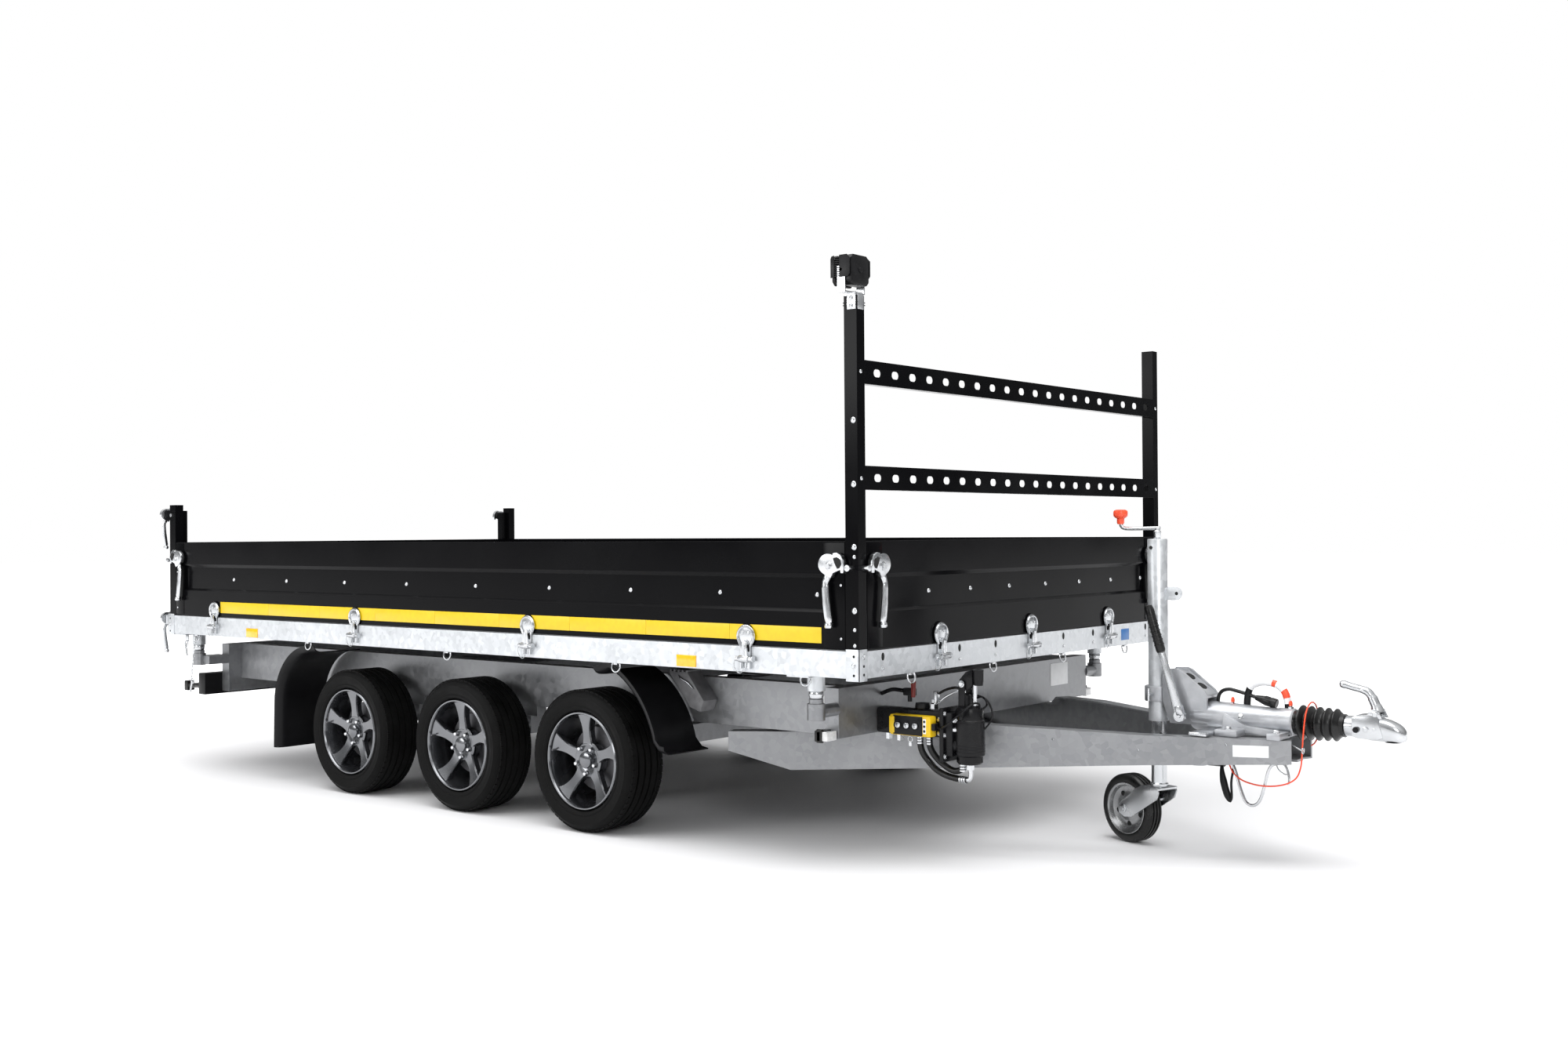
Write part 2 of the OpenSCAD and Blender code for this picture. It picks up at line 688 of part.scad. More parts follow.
// ---- levers: outside towards +Y, latching claw towards +X, grip hanging down ----
lever_base = 20;
module lever(claw) {
  bar_y(17, gap, lever_base + 8);
  if (claw > 0) block(0, claw, lever_base, lever_base + 8, -12, 12);
  else block(-12, 12, lever_base, lever_base + 8, 0, 40);
  block(-8, 8, lever_base, lever_base + 10, -62, 0);
  bar_z(9, -185, -60, 0, lever_base + 12);
  translate([0, lever_base + 12, -185]) sphere(r = 9);
}
lever_z = panel_top - 79;
module side_front_lever(side) {
  color(zinc) place() hand(side) translate([-end_in - 47, panel_face, lever_z]) lever(60);
}
module side_rear_lever(side) {
  color(zinc) place() hand(side) translate([-rear_post_x + 47, panel_face, lever_z]) mirror([1, 0, 0]) lever(60);
}
module front_lever(side) {
  color(zinc) place() hand(side) translate([-2, end_half - 57, lever_z]) rotate([0, 0, -90]) mirror([1, 0, 0]) lever(52);
}
module gate_lever(side, z) {
  color(zinc) place() hand(side) translate([-bed_l - 30, half_w - 19, z]) rotate([0, 0, 90]) lever(0);
}
module side_front_lever_left() { side_front_lever(1); }
module side_front_lever_right() { side_front_lever(-1); }
module side_rear_lever_left() { side_rear_lever(1); }
module side_rear_lever_right() { side_rear_lever(-1); }
module front_lever_left() { front_lever(1); }
module front_lever_right() { front_lever(-1); }
module gate_top_lever_left() { gate_lever(1, pin_z); }
module gate_top_lever_right() { gate_lever(-1, pin_z); }
module gate_low_lever_left() { gate_lever(1, rail_top - 20); }
module gate_low_lever_right() { gate_lever(-1, rail_top - 20); }

// ---- coupling ----
housing_r = 37;
housing_rear = 644;
housing_front = nose_x - 20;
brake_x = 620;
brake_z = 450;
module overrun_housing() {
  color(galvanised) place() difference() {
    union() {
      bar_x(housing_r, housing_rear, housing_front, 0, tube_z);
      plate_y([[539, 624], [600, 624], [700, 545], [700, 440], [560, 440], [539, 505]], -45, 45);
      bar_z(jockey_r + 12, 508, 560, jockey_x);
      block(jockey_x, 545, -20, 20, 508, 560);
      block(700, 760, -190, 190, leg_top + 5, leg_top + 19);
      block(940, housing_front, -75, 75, leg_top + 2, leg_top + 16);
      block(700, housing_front, -drawtube_r - 5, drawtube_r + 5, leg_top + 5, tube_z);
      bar_y(6, -92, -40, brake_x, brake_z + 20);
    }
    bar_x(drawtube_r + fit, housing_rear - 200, housing_front + 1, 0, tube_z);
    bar_z(jockey_r + 0.1, 400, 700, jockey_x);
  }
}
tube_rear = housing_front - overrun - 160;
head_rear = 1152;
module bellows() {
  steps = 10;
  pitch = (head_rear - gap - housing_front - gap) / steps;
  inner = drawtube_r + 8;
  color(rubber) place() translate([housing_front + gap, 0, tube_z]) rotate([0, 90, 0]) rotate_extrude($fn = 48)
    polygon(concat([[inner, 0]],
                   [for (i = [0:steps]) [(i % 2 == 0 ? 44 : 57), i * pitch]],
                   [[inner, steps * pitch]]));
}
ball_x = reach_front - 41;
ball_z = 450;
handle_x = 1254;
handle_z = 506;
module coupling_head() {
  color(zinc) place() difference() {
    union() {
      bar_x(drawtube_r, tube_rear, head_rear + 20, 0, tube_z);
      bar_x(33, head_rear, 1216, 0, tube_z);
      plate_y([[1190, 434], [1190, 505], [1240, 505], [reach_front - 26, 486], [reach_front, 462], [reach_front, 426],
               [1240, 426]], -34, 34);
      for (s = [-1, 1]) plate_y([[handle_x - 26, 500], [handle_x - 10, 524], [handle_x + 12, 524], [handle_x + 22, 500]],
                                s * 26 - 4, s * 26 + 4);
      bar_y(6, -30, 30, handle_x, 513);
    }
    bar_z(socket_r, 400, ball_z, ball_x);
    translate([ball_x, 0, ball_z]) sphere(r = socket_r);
  }
}
module coupling_handle() {
  color(zinc) place() difference() {
    union() {
      bar_y(10, -18, 18, handle_x, 517);
      plate_y([[handle_x - 9, 521], [handle_x + 9, 521], [1238, 582], [1214, 592], [1207, 575], [1226, 560]], -16, 16);
      plate_y([[1216, 574], [1222, 590], [1140, 611], [1128, 604], [1128, 590]], -18, 18);
    }
    bar_y(6 + fit, -19, 19, handle_x, 513);
    block(handle_x - 40, handle_x + 40, -19, 19, 480, 506.5);
  }
}
module handbrake_lever() {
  color(zinc) place() translate([brake_x, 0, brake_z + 20]) difference() {
    rotate([0, -17, 0]) {
      bar_y(18, -88, -72);
      block(-14, 14, -84, -76, 0, 230);
      translate([0, -80, 225]) cylinder(r = 16, h = 165);
    }
    bar_y(6 + fit, -93, -70);
  }
}

// ---- jockey wheel ----
module jockey_tube() {
  color(galvanised) place() difference() {
    bar_z(jockey_r, 440, jockey_top, jockey_x);
    bar_z(26 + gap, 439, jockey_top - 6, jockey_x);
    bar_z(8 + fit, jockey_top - 7, jockey_top + 1, jockey_x);
  }
}
fork_top = 213;
module jockey_inner_tube() {
  color(zinc) place() difference() {
    bar_z(26, fork_top + gap, 720, jockey_x);
    bar_z(22, fork_top + 20, 721, jockey_x);
  }
}
axle_at = jockey_x - jockey_trail;
module castor() {
  place() translate([jockey_x, 0, 0]) rotate([0, 0, jockey_turn]) translate([-jockey_x, 0, 0]) children();
}
module jockey_fork() {
  color(zinc) castor() {
    block(jockey_x - 40, jockey_x + 40, -46, 46, fork_top - 10, fork_top);
    both() plate_y([[jockey_x - 40, fork_top], [jockey_x + 40, fork_top], [jockey_x + 40, fork_top - 40],
                    [axle_at + 22, jockey_d / 2 - 22], [axle_at - 22, jockey_d / 2 - 22],
                    [axle_at - 22, jockey_d / 2 + 20], [axle_at + 50, fork_top]], 40, 46);
    bar_y(10, -46, 46, axle_at, jockey_d / 2);
  }
}
module jockey_wheel() {
  r = jockey_d / 2;
  color(rubber) castor() translate([axle_at, 0, r]) difference() {
    rotate([90, 0, 0]) rotate_extrude($fn = 96) polygon([
      [20, -34], [30, -34], [34, -12], [r - 46, -12], [r - 34, -30], [r - 10, -32], [r, -20], [r, 20], [r - 10, 32],
      [r - 34, 30], [r - 46, 12], [34, 12], [30, 34], [20, 34]]);
    bar_y(10 + fit, -40, 40);
  }
  color(zinc) castor() translate([axle_at, 0, r]) difference() {
    bar_y(20.5, -34, 34);
    bar_y(10 + fit, -35, 35);
  }
}
module jockey_crank() {
  color(zinc) place() {
    bar_z(8, jockey_top - 30, jockey_top + 42, jockey_x);
    block(axle_at - 18, jockey_x + 12, -10, 10, jockey_top + 32, jockey_top + 42);
    bar_z(7, jockey_top + 41, jockey_top + 50, axle_at - 6);
  }
  color("red") place() bar_z(25, jockey_top + 49, jockey_top + 103, axle_at - 6);
}

// ---- cords: routes in millimetres from the bed's front face ----
cable_d = 5;
cable_points = [
  [786, -60, 318], [800, -64, 294], [830, -70, 274], [870, -75, 264], [915, -80, 262], [960, -85, 268],
  [1000, -89, 282], [1026, -90, 304], [1038, -88, 340], [1040, -84, 380], [1040, -76, 420], [1040, -66, 460],
  [1041, -54, 500], [1042, -32, 526], [1042, 0, 536], [1042, 32, 526], [1041, 54, 500], [1040, 64, 460],
  [1040, 54, 420], [1040, 30, 402], [1040, 0, 396]];
hose_d = 22;
hose_low_points = [
  [-150, -620, 407], [-150, -619, 380], [-144, -612, 348], [-126, -600, 318], [-98, -600, 295],
  [-62, -600, 280], [-25, -600, 273], [8, -600, 271], [23, -600, 271]];
hose_high_points = [
  [-112, -620, 407], [-112, -619, 382], [-106, -612, 356], [-90, -604, 332], [-66, -600, 313],
  [-42, -600, 301], [-20, -600, 297], [0, -600, 303], [8, -600, 313], [8, -600, 324]];
lead_d = 12;
lead_points = [
  [712, 24, 506], [712, 24, 522], [716, 24, 540], [730, 22, 554], [754, 20, 560], [780, 18, 556],
  [805, 15, 551], [830, 12, 545], [856, 10, 538]];

function unit(v) = v / norm(v);
function tangent(points, i) = unit(points[min(i + 1, len(points) - 1)] - points[max(i - 1, 0)]);
// A direction across the cord at point i, carried along from the first point without twist
function across(points, i) =
  let (t = tangent(points, i),
       u = i == 0 ? cross(t, abs(t[1]) > 0.7 ? [1, 0, 0] : [0, 1, 0]) : across(points, i - 1))
  unit(u - (u * t) * t);
function ring(points, i, r, sides) =
  let (u = across(points, i), v = cross(tangent(points, i), u))
  [for (k = [0:sides - 1]) points[i] + r * (cos(k * 360 / sides) * u + sin(k * 360 / sides) * v)];
module tube(points, d, sides) {
  n = len(points);
  polyhedron(
    [for (i = [0:n - 1]) each ring(points, i, d / 2, sides)],
    concat([[for (k = [0:sides - 1]) k]], [[for (k = [sides - 1:-1:0]) (n - 1) * sides + k]],
           [for (i = [0:n - 2]) for (k = [0:sides - 1])
             [i * sides + k, (i + 1) * sides + k, (i + 1) * sides + (k + 1) % sides, i * sides + (k + 1) % sides]]));
}
module breakaway_cable() { color("red") place() tube(cable_points, cable_d, 8); }
module light_lead() {
  color(hose_black) place() {
    tube(lead_points, lead_d, 8);
    translate([857, 10, 538]) rotate([0, 104, 0]) {
      cylinder(r1 = 8, r2 = 15, h = 14);
      translate([0, 0, 14]) cylinder(r = 15, h = 56);
    }
  }
}

chassis_rails();
chassis_beams();
drawbar();
pivot_pillars();
axles();
mudguards();
lamps();
wheel_chocks();
power_pack();
hydraulic_hoses();
overrun_housing();
bellows();
jockey_tube();
breakaway_cable();
light_lead();
wheel_front_left();
wheel_front_right();
wheel_middle_left();
wheel_middle_right();
wheel_rear_left();
wheel_rear_right();
ram_barrel();
ram_stage_1();
ram_stage_2();
ram_stage_3();
ram_stage_4();
pivot_balls_right();
pivot_balls_left();
bed_frame();
bed_floor();
corner_posts();
rack_bars();
bed_hardware();
side_panel_left();
side_panel_right();
front_panel();
tailgate();
tailgate_pins();
side_front_lever_left();
side_front_lever_right();
side_rear_lever_left();
side_rear_lever_right();
front_lever_left();
front_lever_right();
gate_top_lever_left();
gate_top_lever_right();
gate_low_lever_left();
gate_low_lever_right();
coupling_head();
coupling_handle();
handbrake_lever();
jockey_inner_tube();
jockey_fork();
jockey_wheel();
jockey_crank();
work_lamp();
hand_pump_lever();
button_up();
button_down();
button_stop();
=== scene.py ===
import math

import bmesh
import bpy
from mathutils import Matrix, Vector


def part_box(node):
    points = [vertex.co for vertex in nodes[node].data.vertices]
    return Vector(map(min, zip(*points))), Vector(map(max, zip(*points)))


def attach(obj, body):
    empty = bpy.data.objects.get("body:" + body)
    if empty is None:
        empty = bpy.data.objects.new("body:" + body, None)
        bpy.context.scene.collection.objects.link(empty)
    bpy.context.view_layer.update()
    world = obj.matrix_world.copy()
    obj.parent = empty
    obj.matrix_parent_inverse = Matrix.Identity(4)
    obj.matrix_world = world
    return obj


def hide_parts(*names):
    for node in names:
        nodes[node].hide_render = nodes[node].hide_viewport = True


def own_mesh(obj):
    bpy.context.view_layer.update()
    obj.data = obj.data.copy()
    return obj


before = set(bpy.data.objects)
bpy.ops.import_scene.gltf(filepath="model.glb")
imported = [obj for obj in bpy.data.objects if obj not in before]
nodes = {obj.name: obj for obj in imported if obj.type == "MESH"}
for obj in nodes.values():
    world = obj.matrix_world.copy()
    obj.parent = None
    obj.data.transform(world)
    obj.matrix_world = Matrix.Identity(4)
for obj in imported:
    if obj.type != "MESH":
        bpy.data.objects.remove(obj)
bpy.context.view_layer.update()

# ---- Viewpoint and studio ----
# A pale sweep under a wide overhead softbox, with a dim surround so that black paint stays black.
# The camera stands at the right-hand front corner, at about chest height.
eye = Vector((4.3585, -5.0081, 1.1019))
yaw, pitch, roll = (math.radians(a) for a in (39.156, 0.334, -0.391))
ahead = Vector((-math.sin(yaw) * math.cos(pitch), math.cos(yaw) * math.cos(pitch), math.sin(pitch)))
right = Vector((math.cos(yaw), math.sin(yaw), 0))
up = right.cross(ahead)
right, up = math.cos(roll) * right + math.sin(roll) * up, math.cos(roll) * up - math.sin(roll) * right
camera = bpy.data.objects.new("camera", bpy.data.cameras.new("camera"))
camera.data.lens = 35.8
camera.data.sensor_width = 36
camera.matrix_world = Matrix.Translation(eye) @ Matrix((right, up, -ahead)).transposed().to_4x4()
bpy.context.scene.collection.objects.link(camera)
bpy.context.scene.camera = camera
bpy.context.scene.view_settings.view_transform = "Standard"

world = bpy.data.worlds.new("studio")
world.use_nodes = True
bpy.context.scene.world = world
wn, wl = world.node_tree.nodes, world.node_tree.links
wn.clear()
sky = wn.new("ShaderNodeBackground")
white = wn.new("ShaderNodeBackground")
seen = wn.new("ShaderNodeMixShader")
path = wn.new("ShaderNodeLightPath")
place = wn.new("ShaderNodeTexCoord")
height = wn.new("ShaderNodeSeparateXYZ")
shade = wn.new("ShaderNodeValToRGB")
world_out = wn.new("ShaderNodeOutputWorld")
shade.color_ramp.elements[0].position = 0.0
shade.color_ramp.elements[0].color = (0.10, 0.105, 0.11, 1)
shade.color_ramp.elements[1].position = 0.75
shade.color_ramp.elements[1].color = (1.0, 1.0, 1.0, 1)
sky.inputs["Strength"].default_value = 1.0
white.inputs["Color"].default_value = (1, 1, 1, 1)
white.inputs["Strength"].default_value = 1.0
wl.new(place.outputs["Generated"], height.inputs[0])
wl.new(height.outputs["Z"], shade.inputs["Fac"])
wl.new(shade.outputs["Color"], sky.inputs["Color"])
wl.new(path.outputs["Is Camera Ray"], seen.inputs["Fac"])
wl.new(sky.outputs["Background"], seen.inputs[1])
wl.new(white.outputs["Background"], seen.inputs[2])
wl.new(seen.outputs["Shader"], world_out.inputs["Surface"])


def softbox(name, spot, aim, size, power):
    """A rectangular lamp that faces a point."""
    lamp = bpy.data.objects.new(name, bpy.data.lights.new(name, "AREA"))
    lamp.data.shape = "RECTANGLE"
    lamp.data.size, lamp.data.size_y = size
    lamp.data.energy = power
    lamp.location = spot
    lamp.rotation_euler = (Vector(aim) - Vector(spot)).to_track_quat("-Z", "Y").to_euler()
    bpy.context.scene.collection.objects.link(lamp)


softbox("overhead", (0.5, -1.5, 6.5), (0, 0, 0.4), (9.0, 5.0), 520)
softbox("front_right", (6.5, -5.5, 3.4), (0.8, 0, 0.6), (2.6, 2.6), 120)
softbox("right_side", (-3.5, -7.5, 2.8), (-1.0, 0, 0.5), (4.5, 1.6), 170)


def surface(name, dark, light, rough, metallic=0.0, scale=8.0, grain=0.0, edge=0.0, coat=0.0,
            spangle=0.0, see=0.0, gloss=0.5):
    """A material whose colour wanders between dark and light, and whose roughness wanders too."""
    mat = bpy.data.materials.new(name)
    mat.use_nodes = True
    n, l = mat.node_tree.nodes, mat.node_tree.links
    bsdf = n["Principled BSDF"]
    coords = n.new("ShaderNodeTexCoord")
    cloud = n.new("ShaderNodeTexNoise")
    cloud.inputs["Scale"].default_value = scale
    cloud.inputs["Detail"].default_value = 5.0
    l.new(coords.outputs["Object"], cloud.inputs["Vector"])
    mix = n.new("ShaderNodeMix")
    mix.data_type = "RGBA"
    mix.inputs["A"].default_value = (*dark, 1)
    mix.inputs["B"].default_value = (*light, 1)
    pattern = cloud.outputs["Fac"]
    if spangle:
        flakes = n.new("ShaderNodeTexVoronoi")
        flakes.inputs["Scale"].default_value = spangle
        l.new(coords.outputs["Object"], flakes.inputs["Vector"])
        blend = n.new("ShaderNodeMix")
        blend.inputs["Factor"].default_value = 0.35
        l.new(cloud.outputs["Fac"], blend.inputs["A"])
        l.new(flakes.outputs["Color"], blend.inputs["B"])
        pattern = blend.outputs["Result"]
    widen = n.new("ShaderNodeMapRange")
    widen.inputs["From Min"].default_value = 0.3
    widen.inputs["From Max"].default_value = 0.7
    l.new(pattern, widen.inputs["Value"])
    l.new(widen.outputs["Result"], mix.inputs["Factor"])
    l.new(mix.outputs["Result"], bsdf.inputs["Base Color"])
    polish = n.new("ShaderNodeMapRange")
    polish.inputs["From Min"].default_value = 0.3
    polish.inputs["From Max"].default_value = 0.7
    polish.inputs["To Min"].default_value, polish.inputs["To Max"].default_value = rough
    l.new(pattern, polish.inputs["Value"])
    l.new(polish.outputs["Result"], bsdf.inputs["Roughness"])
    bsdf.inputs["Metallic"].default_value = metallic
    bsdf.inputs["Coat Weight"].default_value = coat
    bsdf.inputs["Coat Roughness"].default_value = 0.06
    bsdf.inputs["Transmission Weight"].default_value = see
    bsdf.inputs["Specular IOR Level"].default_value = gloss
    normal = None
    if edge:
        rounded = n.new("ShaderNodeBevel")
        rounded.samples = 4
        rounded.inputs["Radius"].default_value = edge
        normal = rounded.outputs["Normal"]
        l.new(normal, bsdf.inputs["Normal"])
    if grain:
        fine = n.new("ShaderNodeTexNoise")
        fine.inputs["Scale"].default_value = 260.0
        bump = n.new("ShaderNodeBump")
        bump.inputs["Strength"].default_value = grain
        bump.inputs["Distance"].default_value = 0.001
        l.new(coords.outputs["Object"], fine.inputs["Vector"])
        l.new(fine.outputs["Fac"], bump.inputs["Height"])
        if normal:
            l.new(normal, bump.inputs["Normal"])
        l.new(bump.outputs["Normal"], bsdf.inputs["Normal"])
    return mat


def paint(material, *names):
    """Gives CAD nodes that are shown as they are their material."""
    for name in names:
        nodes[name].data.materials.clear()
        nodes[name].data.materials.append(material)


def floor_sheet():
    mesh = bpy.data.meshes.new("floor")
    corners = [(-60, -60), (60, -60), (60, 60), (-60, 60)]
    mesh.from_pydata([(x, y, -0.001) for x, y in corners], [], [(0, 1, 2, 3)])
    sheet = bpy.data.objects.new("floor", mesh)
    pale = surface("pale_floor", (0.80, 0.80, 0.81), (0.84, 0.84, 0.85), (0.5, 0.7), scale=0.4, gloss=0.2)
    n, l = pale.node_tree.nodes, pale.node_tree.links
    coords = n.new("ShaderNodeTexCoord")
    away = n.new("ShaderNodeVectorMath")
    fade = n.new("ShaderNodeMapRange")
    away.operation = "LENGTH"
    fade.inputs["From Min"].default_value, fade.inputs["From Max"].default_value = 2.5, 8.0
    l.new(coords.outputs["Object"], away.inputs[0])
    l.new(away.outputs["Value"], fade.inputs["Value"])
    l.new(fade.outputs["Result"], n["Principled BSDF"].inputs["Emission Strength"])
    sheet.data.materials.append(pale)
    bpy.context.scene.collection.objects.link(sheet)


floor_sheet()

# ---- Chassis ----
# Folded and welded sheet-steel rails, cross-members, front and rear beams and two drawbar legs, hot-dip
# galvanised after welding. The zinc is mottled: brighter flakes on a soft grey, with dull patches.
zinc_dip = surface("zinc_dip", (0.50, 0.52, 0.54), (0.70, 0.72, 0.74), (0.3, 0.46), 0.7, 2.2, 0.05, 0.0015,
                   spangle=55)
# A darker copy of the same zinc for the chassis rails, beams, drawbar, axles and pillars; its darkness is
# painted shade.
zinc_shaded_copy = surface("zinc_shaded_copy", (0.23, 0.235, 0.245), (0.32, 0.325, 0.335), (0.3, 0.48), 0.7, 2.6, 0.05,
                    0.0015, spangle=48)
paint(zinc_dip, "bed_frame")
paint(zinc_shaded_copy, "chassis_rails", "chassis_beams", "drawbar", "axles", "pivot_pillars")

front_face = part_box("bed_frame")[1].x


def move(x, y, z):
    """A shift in millimetres."""
    return Matrix.Translation((x, y, z))


onto_front = Matrix.Rotation(math.pi / 2, 4, "Y")
onto_near = Matrix.Rotation(math.pi / 2, 4, "X")


full_turn = [2 * math.pi * k / 16 for k in range(17)]


def hoop(x, y, z, r):
    """A closed ring of points, upright and facing the side."""
    return [Vector((x + r * math.cos(a), y, z + r * math.sin(a))) for a in full_turn]


def at(spot):
    """A place given in millimetres from the bed's front face, as the design gives it, in metres."""
    return Vector((front_face + spot[0] / 1000, spot[1] / 1000, spot[2] / 1000))


def join(bm, part, m=0, place=None):
    """Adds one closed part to a piece, in millimetres, with material number m."""
    if place is not None:
        bmesh.ops.transform(part, matrix=place, verts=part.verts)
    for f in part.faces:
        f.material_index = m
    bmesh.ops.recalc_face_normals(part, faces=part.faces)
    scratch = bpy.data.meshes.new("scratch")
    part.to_mesh(scratch)
    part.free()
    bm.from_mesh(scratch)
    bpy.data.meshes.remove(scratch)


def box(bm, x0, x1, y0, y1, z0, z1, soft=1.0, m=0, place=None):
    """A block with softened edges."""
    part = bmesh.new()
    bmesh.ops.create_cube(part, size=1)
    for v in part.verts:
        v.co = Vector(((x0 + x1) / 2 + v.co.x * (x1 - x0), (y0 + y1) / 2 + v.co.y * (y1 - y0),
                       (z0 + z1) / 2 + v.co.z * (z1 - z0)))
    if soft:
        bmesh.ops.bevel(part, geom=part.edges[:], offset=soft, segments=2, profile=0.6, affect="EDGES",
                        clamp_overlap=True)
    join(bm, part, m, place)


def lathe(bm, profile, place=None, turns=32, m=0):
    """A turned part: profile is (radius, height) along its own Z axis, ends closed."""
    part = bmesh.new()
    rings = []
    for r, h in profile:
        if r < 1e-6:
            rings.append([part.verts.new((0, 0, h))])
        else:
            rings.append([part.verts.new((r * math.cos(2 * math.pi * k / turns),
                                          r * math.sin(2 * math.pi * k / turns), h)) for k in range(turns)])
    closed = rings[0][0].co == rings[-1][0].co
    for a, b in zip(rings, rings[1:]):
        for k in range(turns):
            k2 = (k + 1) % turns
            if len(a) == 1 and len(b) == 1:
                continue
            if len(a) == 1:
                part.faces.new((a[0], b[k], b[k2]))
            elif len(b) == 1:
                part.faces.new((a[k], b[0], a[k2]))
            else:
                part.faces.new((a[k], b[k], b[k2], a[k2]))
    if closed:
        bmesh.ops.remove_doubles(part, verts=part.verts, dist=1e-4)
    else:
        for ring in (rings[0], rings[-1]):
            if len(ring) > 1:
                part.faces.new(ring)
    join(bm, part, m, place)


def plate(bm, outline, y0, y1, soft=1.0, m=0, place=None):
    """An outline in X and Z with a thickness along Y."""
    part = bmesh.new()
    face = part.faces.new([part.verts.new((x, y0, z)) for x, z in outline])
    grown = bmesh.ops.extrude_face_region(part, geom=[face])
    moved = [g for g in grown["geom"] if isinstance(g, bmesh.types.BMVert)]
    bmesh.ops.translate(part, vec=(0, y1 - y0, 0), verts=moved)
    if soft:
        bmesh.ops.bevel(part, geom=part.edges[:], offset=soft, segments=2, profile=0.6, affect="EDGES",
                        clamp_overlap=True)
    join(bm, part, m, place)


def curve(points, steps=6):
    """A smooth line through given points."""
    pts = [Vector(p) for p in points]
    line = []
    for i in range(len(pts) - 1):
        a, b, c, d = pts[max(i - 1, 0)], pts[i], pts[i + 1], pts[min(i + 2, len(pts) - 1)]
        for k in range(steps):
            t = k / steps
            line.append(0.5 * (2 * b + (c - a) * t + (2 * a - 5 * b + 4 * c - d) * t * t
                               + (3 * b - a - 3 * c + d) * t ** 3))
    return line + [pts[-1]]


def tube(bm, line, r, sides=10, m=0, flat=1.0, place=None):
    """A round bar or hose along a line; r is one radius or one for each point."""
    part = bmesh.new()
    line = [Vector(p) for p in line]
    across = None
    rings = []
    for i, p in enumerate(line):
        t = (line[min(i + 1, len(line) - 1)] - line[max(i - 1, 0)]).normalized()
        if across is None:
            across = t.cross(Vector((0, 1, 0)) if abs(t.y) < 0.7 else Vector((1, 0, 0)))
        across = (across - across.dot(t) * t).normalized()
        other = t.cross(across)
        size = r[i] if isinstance(r, (list, tuple)) else r
        rings.append([part.verts.new(p + size * (math.cos(2 * math.pi * k / sides) * across
                                                 + flat * math.sin(2 * math.pi * k / sides) * other))
                      for k in range(sides)])
    for a, b in zip(rings, rings[1:]):
        for k in range(sides):
            part.faces.new((a[k], a[(k + 1) % sides], b[(k + 1) % sides], b[k]))
    if (line[0] - line[-1]).length < 1e-6:
        bmesh.ops.remove_doubles(part, verts=part.verts, dist=1e-3)
    else:
        part.faces.new(rings[0])
        part.faces.new(rings[-1])
    join(bm, part, m, place)


def bolt(bm, spot, out, r=8.0, h=5.0, m=0, washer=1.5):
    """A hexagon head on a washer, facing out."""
    turn = Matrix.Translation(spot) @ Vector((0, 0, 1)).rotation_difference(Vector(out)).to_matrix().to_4x4()
    if washer:
        lathe(bm, [(0, 0), (r * 1.45, 0), (r * 1.45, washer * 0.7), (r * 1.35, washer), (0, washer)], turn,
              24, m)
    lathe(bm, [(0, washer), (r, washer), (r, washer + h * 0.8), (r * 0.85, washer + h), (0, washer + h)],
          turn, 6, m)


def piece(bm, name, body, materials, gone=(), sharp=38.0):
    """Closes a piece: metres in the part's frame, creases, materials and the CAD nodes it replaces."""
    bm.normal_update()
    for e in bm.edges:
        e.smooth = not (len(e.link_faces) == 2 and e.calc_face_angle(0) > math.radians(sharp))
    for f in bm.faces:
        f.smooth = True
    for v in bm.verts:
        v.co = at(v.co)
    mesh = bpy.data.meshes.new(name)
    bm.to_mesh(mesh)
    bm.free()
    made = bpy.data.objects.new(name, mesh)
    for m in materials:
        mesh.materials.append(m)
    bpy.context.scene.collection.objects.link(made)
    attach(made, body)
    if gone:
        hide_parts(*gone)
    return made

# ---- Panels, posts and rack ----
# Folded steel sheet and square tube in deep gloss black powder coat, smooth enough to mirror the studio.
gloss_black = surface("gloss_black", (0.0015, 0.0015, 0.002), (0.003, 0.003, 0.0035), (0.14, 0.24), 0.0, 3.0,
                      0.02, 0.0012)
gloss_black.node_tree.nodes["Principled BSDF"].inputs["Specular IOR Level"].default_value = 0.06
paint(gloss_black, "corner_posts", "rack_bars", "side_panel_left", "side_panel_right", "front_panel",
      "tailgate")
bright_zinc = surface("bright_zinc", (0.5, 0.515, 0.53), (0.64, 0.65, 0.665), (0.2, 0.3), 1.0, 12.0, 0.0,
                      0.0008)
paint(bright_zinc, "pivot_balls_left", "pivot_balls_right", "bed_hardware", "tailgate_pins", "jockey_tube")

# ---- Tyres ----
# Low-profile trailer tyres, 195 mm wide: smooth sidewalls with a rim guard rib and two raised lines,
# four grooves round the tread, and shoulder blocks cut by sipes.
tyre_black = surface("tyre_black", (0.002, 0.002, 0.002), (0.006, 0.006, 0.006), (0.5, 0.75), 0.0, 14.0, 0.25,
                     gloss=0.1)
tyre_low, tyre_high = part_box("wheel_front_left")
tyre_r = (tyre_high.z - tyre_low.z) * 500
tyre_half = (tyre_high.y - tyre_low.y) * 500
block_count = 64


def wheel_places():
    """Each wheel's body, its centre in millimetres, and the turn that faces it outwards."""
    for row in ("front", "middle", "rear"):
        for side in ("left", "right"):
            low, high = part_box(f"wheel_{row}_{side}")
            middle = (low + high) / 2
            spot = Vector(((middle.x - front_face) * 1000, middle.y * 1000, middle.z * 1000))
            turn = Matrix.Rotation(0 if side == "left" else math.pi, 4, "Z")
            yield f"wheel_{row}_{side}", Matrix.Translation(spot) @ turn


